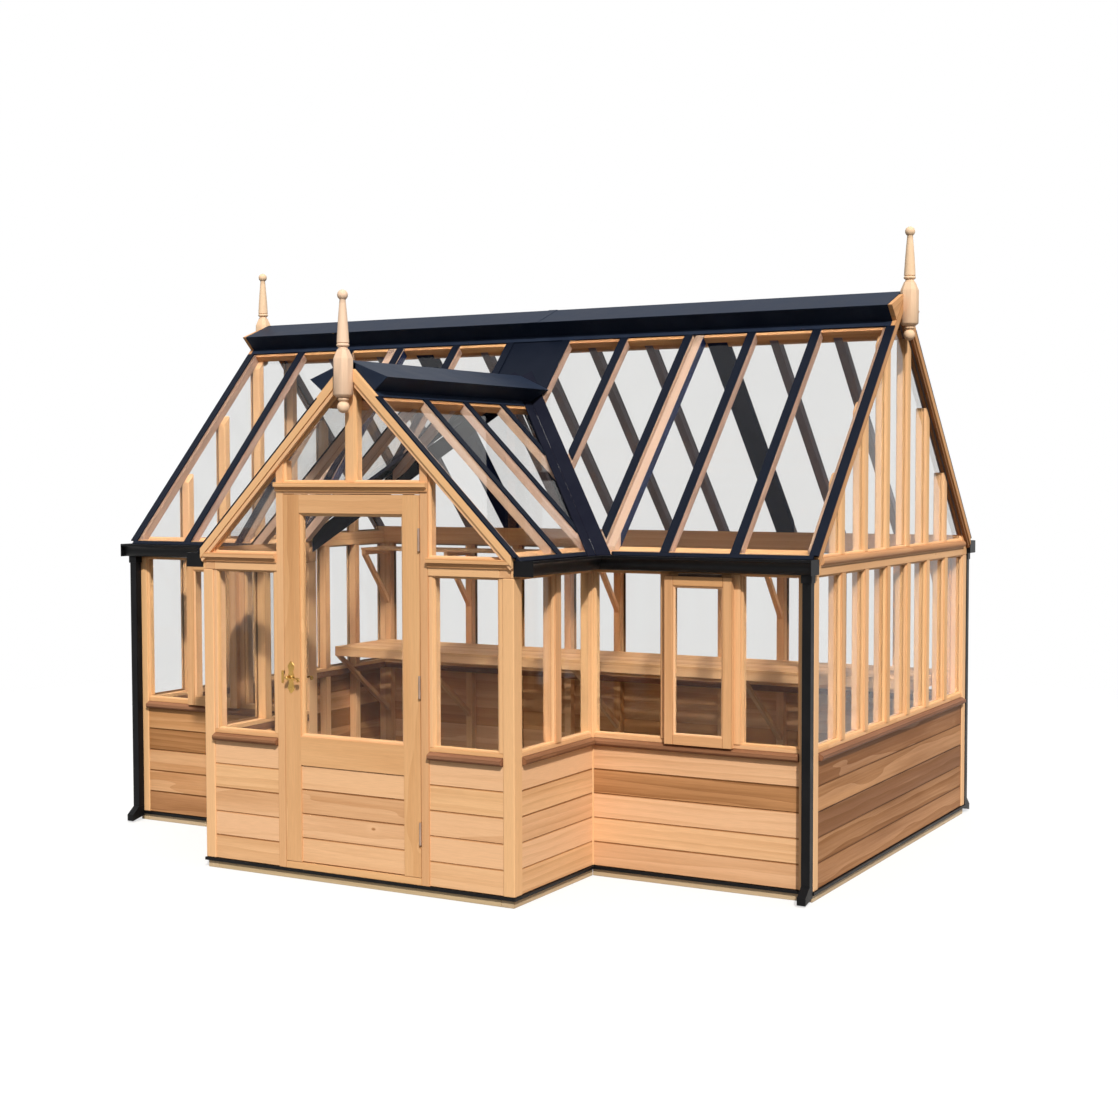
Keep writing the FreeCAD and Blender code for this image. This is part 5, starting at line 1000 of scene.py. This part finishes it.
def lever_arm(depth):
    """Arm and scroll of a lever, at one depth.

    The arm's height is LEVER_Z - dip x (1 - cos 2 pi t) / 2. The scroll's centre lies below the arm's
    end, and its radius shrinks with its angle, so both run into each other without a kink. The section
    is thinner in the middle, by half a sine wave, and thins again with the cube of the way to the end.
    """
    t = np.linspace(0, 1, 24)
    arm = np.stack([LEVER_X + ARM_REACH * t, LEVER_Z - ARM_DIP * (1 - np.cos(2 * np.pi * t)) / 2], 1)
    angle = np.radians(np.linspace(90, -230, SCROLL_STEPS))[1:]
    curl = np.linspace(SCROLL_START, SCROLL_END, SCROLL_STEPS)[1:, None]
    scroll = arm[-1] - [0, SCROLL_START] + curl * np.stack([np.cos(angle), np.sin(angle)], 1)
    flat_path = np.concatenate([arm, scroll])
    step = np.gradient(flat_path, axis=0)
    step /= np.linalg.norm(step, axis=1, keepdims=True)
    along = np.linspace(0, 1, len(flat_path))
    thick = 0.0062 - 0.0016 * np.sin(np.pi * along) - 0.0026 * along ** 3
    spots = np.stack([flat_path[:, 0], np.full(len(flat_path), depth), flat_path[:, 1]], 1)
    wide = np.stack([step[:, 1], np.zeros(len(step)), -step[:, 0]], 1) * thick[:, None]
    return carried(round_section(16), spots, wide, thick[:, None] * ARM_DEEP * AXIS_Y)


def knob(outline, centre, way, corners=24):
    """A lathe lying along Y: a circle of the outline's radius at each distance from the centre.

    Way -1 turns it to the front, and 1 to the back.
    """
    radius, height = np.array(outline).T[:, :, None]
    spots = centre + way * height * AXIS_Y
    return carried(round_section(corners), spots, radius * AXIS_X, -way * radius * AXIS_Z)


SPINDLE_RADIUS = 0.0055
neck_outline = [
    (0.0165, 0.0), (0.0165, 0.003), (0.012, 0.006), (0.0088, 0.010), (0.0084, 0.024),
    (0.0105, 0.029), (0.0108, 0.036), (0.0085, 0.0405), (0.004, 0.0425), (TIP, 0.043),
]
lever_parts = []
for face, way in ((leaf_front - PLATE_THICK, -1), (leaf_back + PLATE_THICK, 1)):
    lever_parts.append(lever_arm(face + way * LEVER_STAND))
    lever_parts.append(knob(neck_outline, np.array([LEVER_X, face, LEVER_Z]), way))
spindle = [(SPINDLE_RADIUS, leaf_front - PLATE_THICK), (SPINDLE_RADIUS, leaf_back + PLATE_THICK)]
lever_parts.append(knob(spindle, np.array([LEVER_X, 0, LEVER_Z]), 1, 4))
lever_mesh = piece_mesh("lever_cast", lever_parts, TURNED_SMOOTH)
finish_piece("lever_cast", lever_mesh, brass, "lever", "brass", "lever_handle")
print("lever faces:", len(lever_mesh.polygons))


# %% Press the plates
PLATE_ROWS, SCREW_SHARE, CASE_EASE = 61, 0.66, 0.0008


def lobed_plate(face, way):
    """A domed plate with three lobes.

    Its half width is PLATE_HALF x (0.82 + 0.18 cos 3 pi s) x (1 - s^6)^0.7 for s from -1 to 1. Its
    section is flat behind, and in front its depth is (1 - x^4)^0.5 of its thickness.
    """
    s = np.linspace(-1, 1, PLATE_ROWS)
    width = PLATE_HALF * (0.82 + 0.18 * np.cos(3 * np.pi * s)) * np.maximum(1 - s ** 6, 0) ** 0.7 + TIP
    x = np.cos(np.linspace(np.pi, 0, 17))
    front = np.stack([x, -np.sqrt(np.maximum(1 - x ** 4, 0))], 1)
    section = front if way < 0 else -front
    spots = np.array([LEVER_X, face, LEVER_Z]) + PLATE_TALL * s[:, None] * AXIS_Z
    depth = PLATE_THICK * (0.55 + 0.45 * np.minimum(width / PLATE_HALF * 2, 1))
    return carried(section, spots, width[:, None] * AXIS_X, depth[:, None] * AXIS_Y)


screw_outline = [(0.0036, 0.0), (0.0034, 0.0008), (0.0024, 0.0016), (TIP, 0.002)]
plate_parts = []
for face, way in ((leaf_front, -1), (leaf_back, 1)):
    plate_parts.append(lobed_plate(face, way))
    for lift in (-SCREW_SHARE * PLATE_TALL, SCREW_SHARE * PLATE_TALL):
        spot = np.array([LEVER_X, face + way * PLATE_THICK * 0.9, LEVER_Z + lift])
        plate_parts.append(knob(screw_outline, spot, way, 12))
finish_piece("handle_plates", piece_mesh("handle_plates", plate_parts), brass, "door", "brass")
depths = [np.ptp(solid[:, 1]) for solid in solids_of("door_lock")]
case_mesh = eased_copy("door_lock", CASE_EASE, 2, [int(np.argmax(depths))])
finish_piece("lock_case", case_mesh, brass, "door", "brass", "door_lock")
print("handle plates and lock case made")


# %% Let in the keep
KEEP_X, KEEP_HALF_WIDE, KEEP_HALF_TALL, KEEP_THICK = -0.4385, 0.0085, 0.034, 0.0016
KEEP_SCREW_LIFT, KEEP_SCREW_FRONT = 0.025, -0.0014


def rounded_plate(centre, half_wide, half_tall, thick):
    """A plate on a wall that faces the front: x and z follow cos^0.3 and sin^0.3, and its rim is eased."""
    turn = np.linspace(0, 2 * np.pi, 40, endpoint=False)
    round_box = np.stack([np.cos(turn), np.sin(turn)], 1)
    round_box = np.sign(round_box) * np.abs(round_box) ** 0.3
    size = np.array([[1.0], [1.0], [0.96]])
    spots = centre - np.array([[0], [0.6], [1]]) * thick * AXIS_Y
    return carried(round_box, spots, size * half_wide * AXIS_X, size * half_tall * AXIS_Z)


casing_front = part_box("door_casing")[0][1]
keep_spot = np.array([KEEP_X, casing_front, LEVER_Z])
keep_parts = [rounded_plate(keep_spot, KEEP_HALF_WIDE, KEEP_HALF_TALL, KEEP_THICK)]
for lift in (-KEEP_SCREW_LIFT, KEEP_SCREW_LIFT):
    keep_parts.append(knob(screw_outline, keep_spot + [0, KEEP_SCREW_FRONT, lift], -1, 12))
finish_piece("keep_plate", piece_mesh("keep_plate", keep_parts), brass, "house", "brass")
print("keep plate at", keep_spot.round(3).tolist())
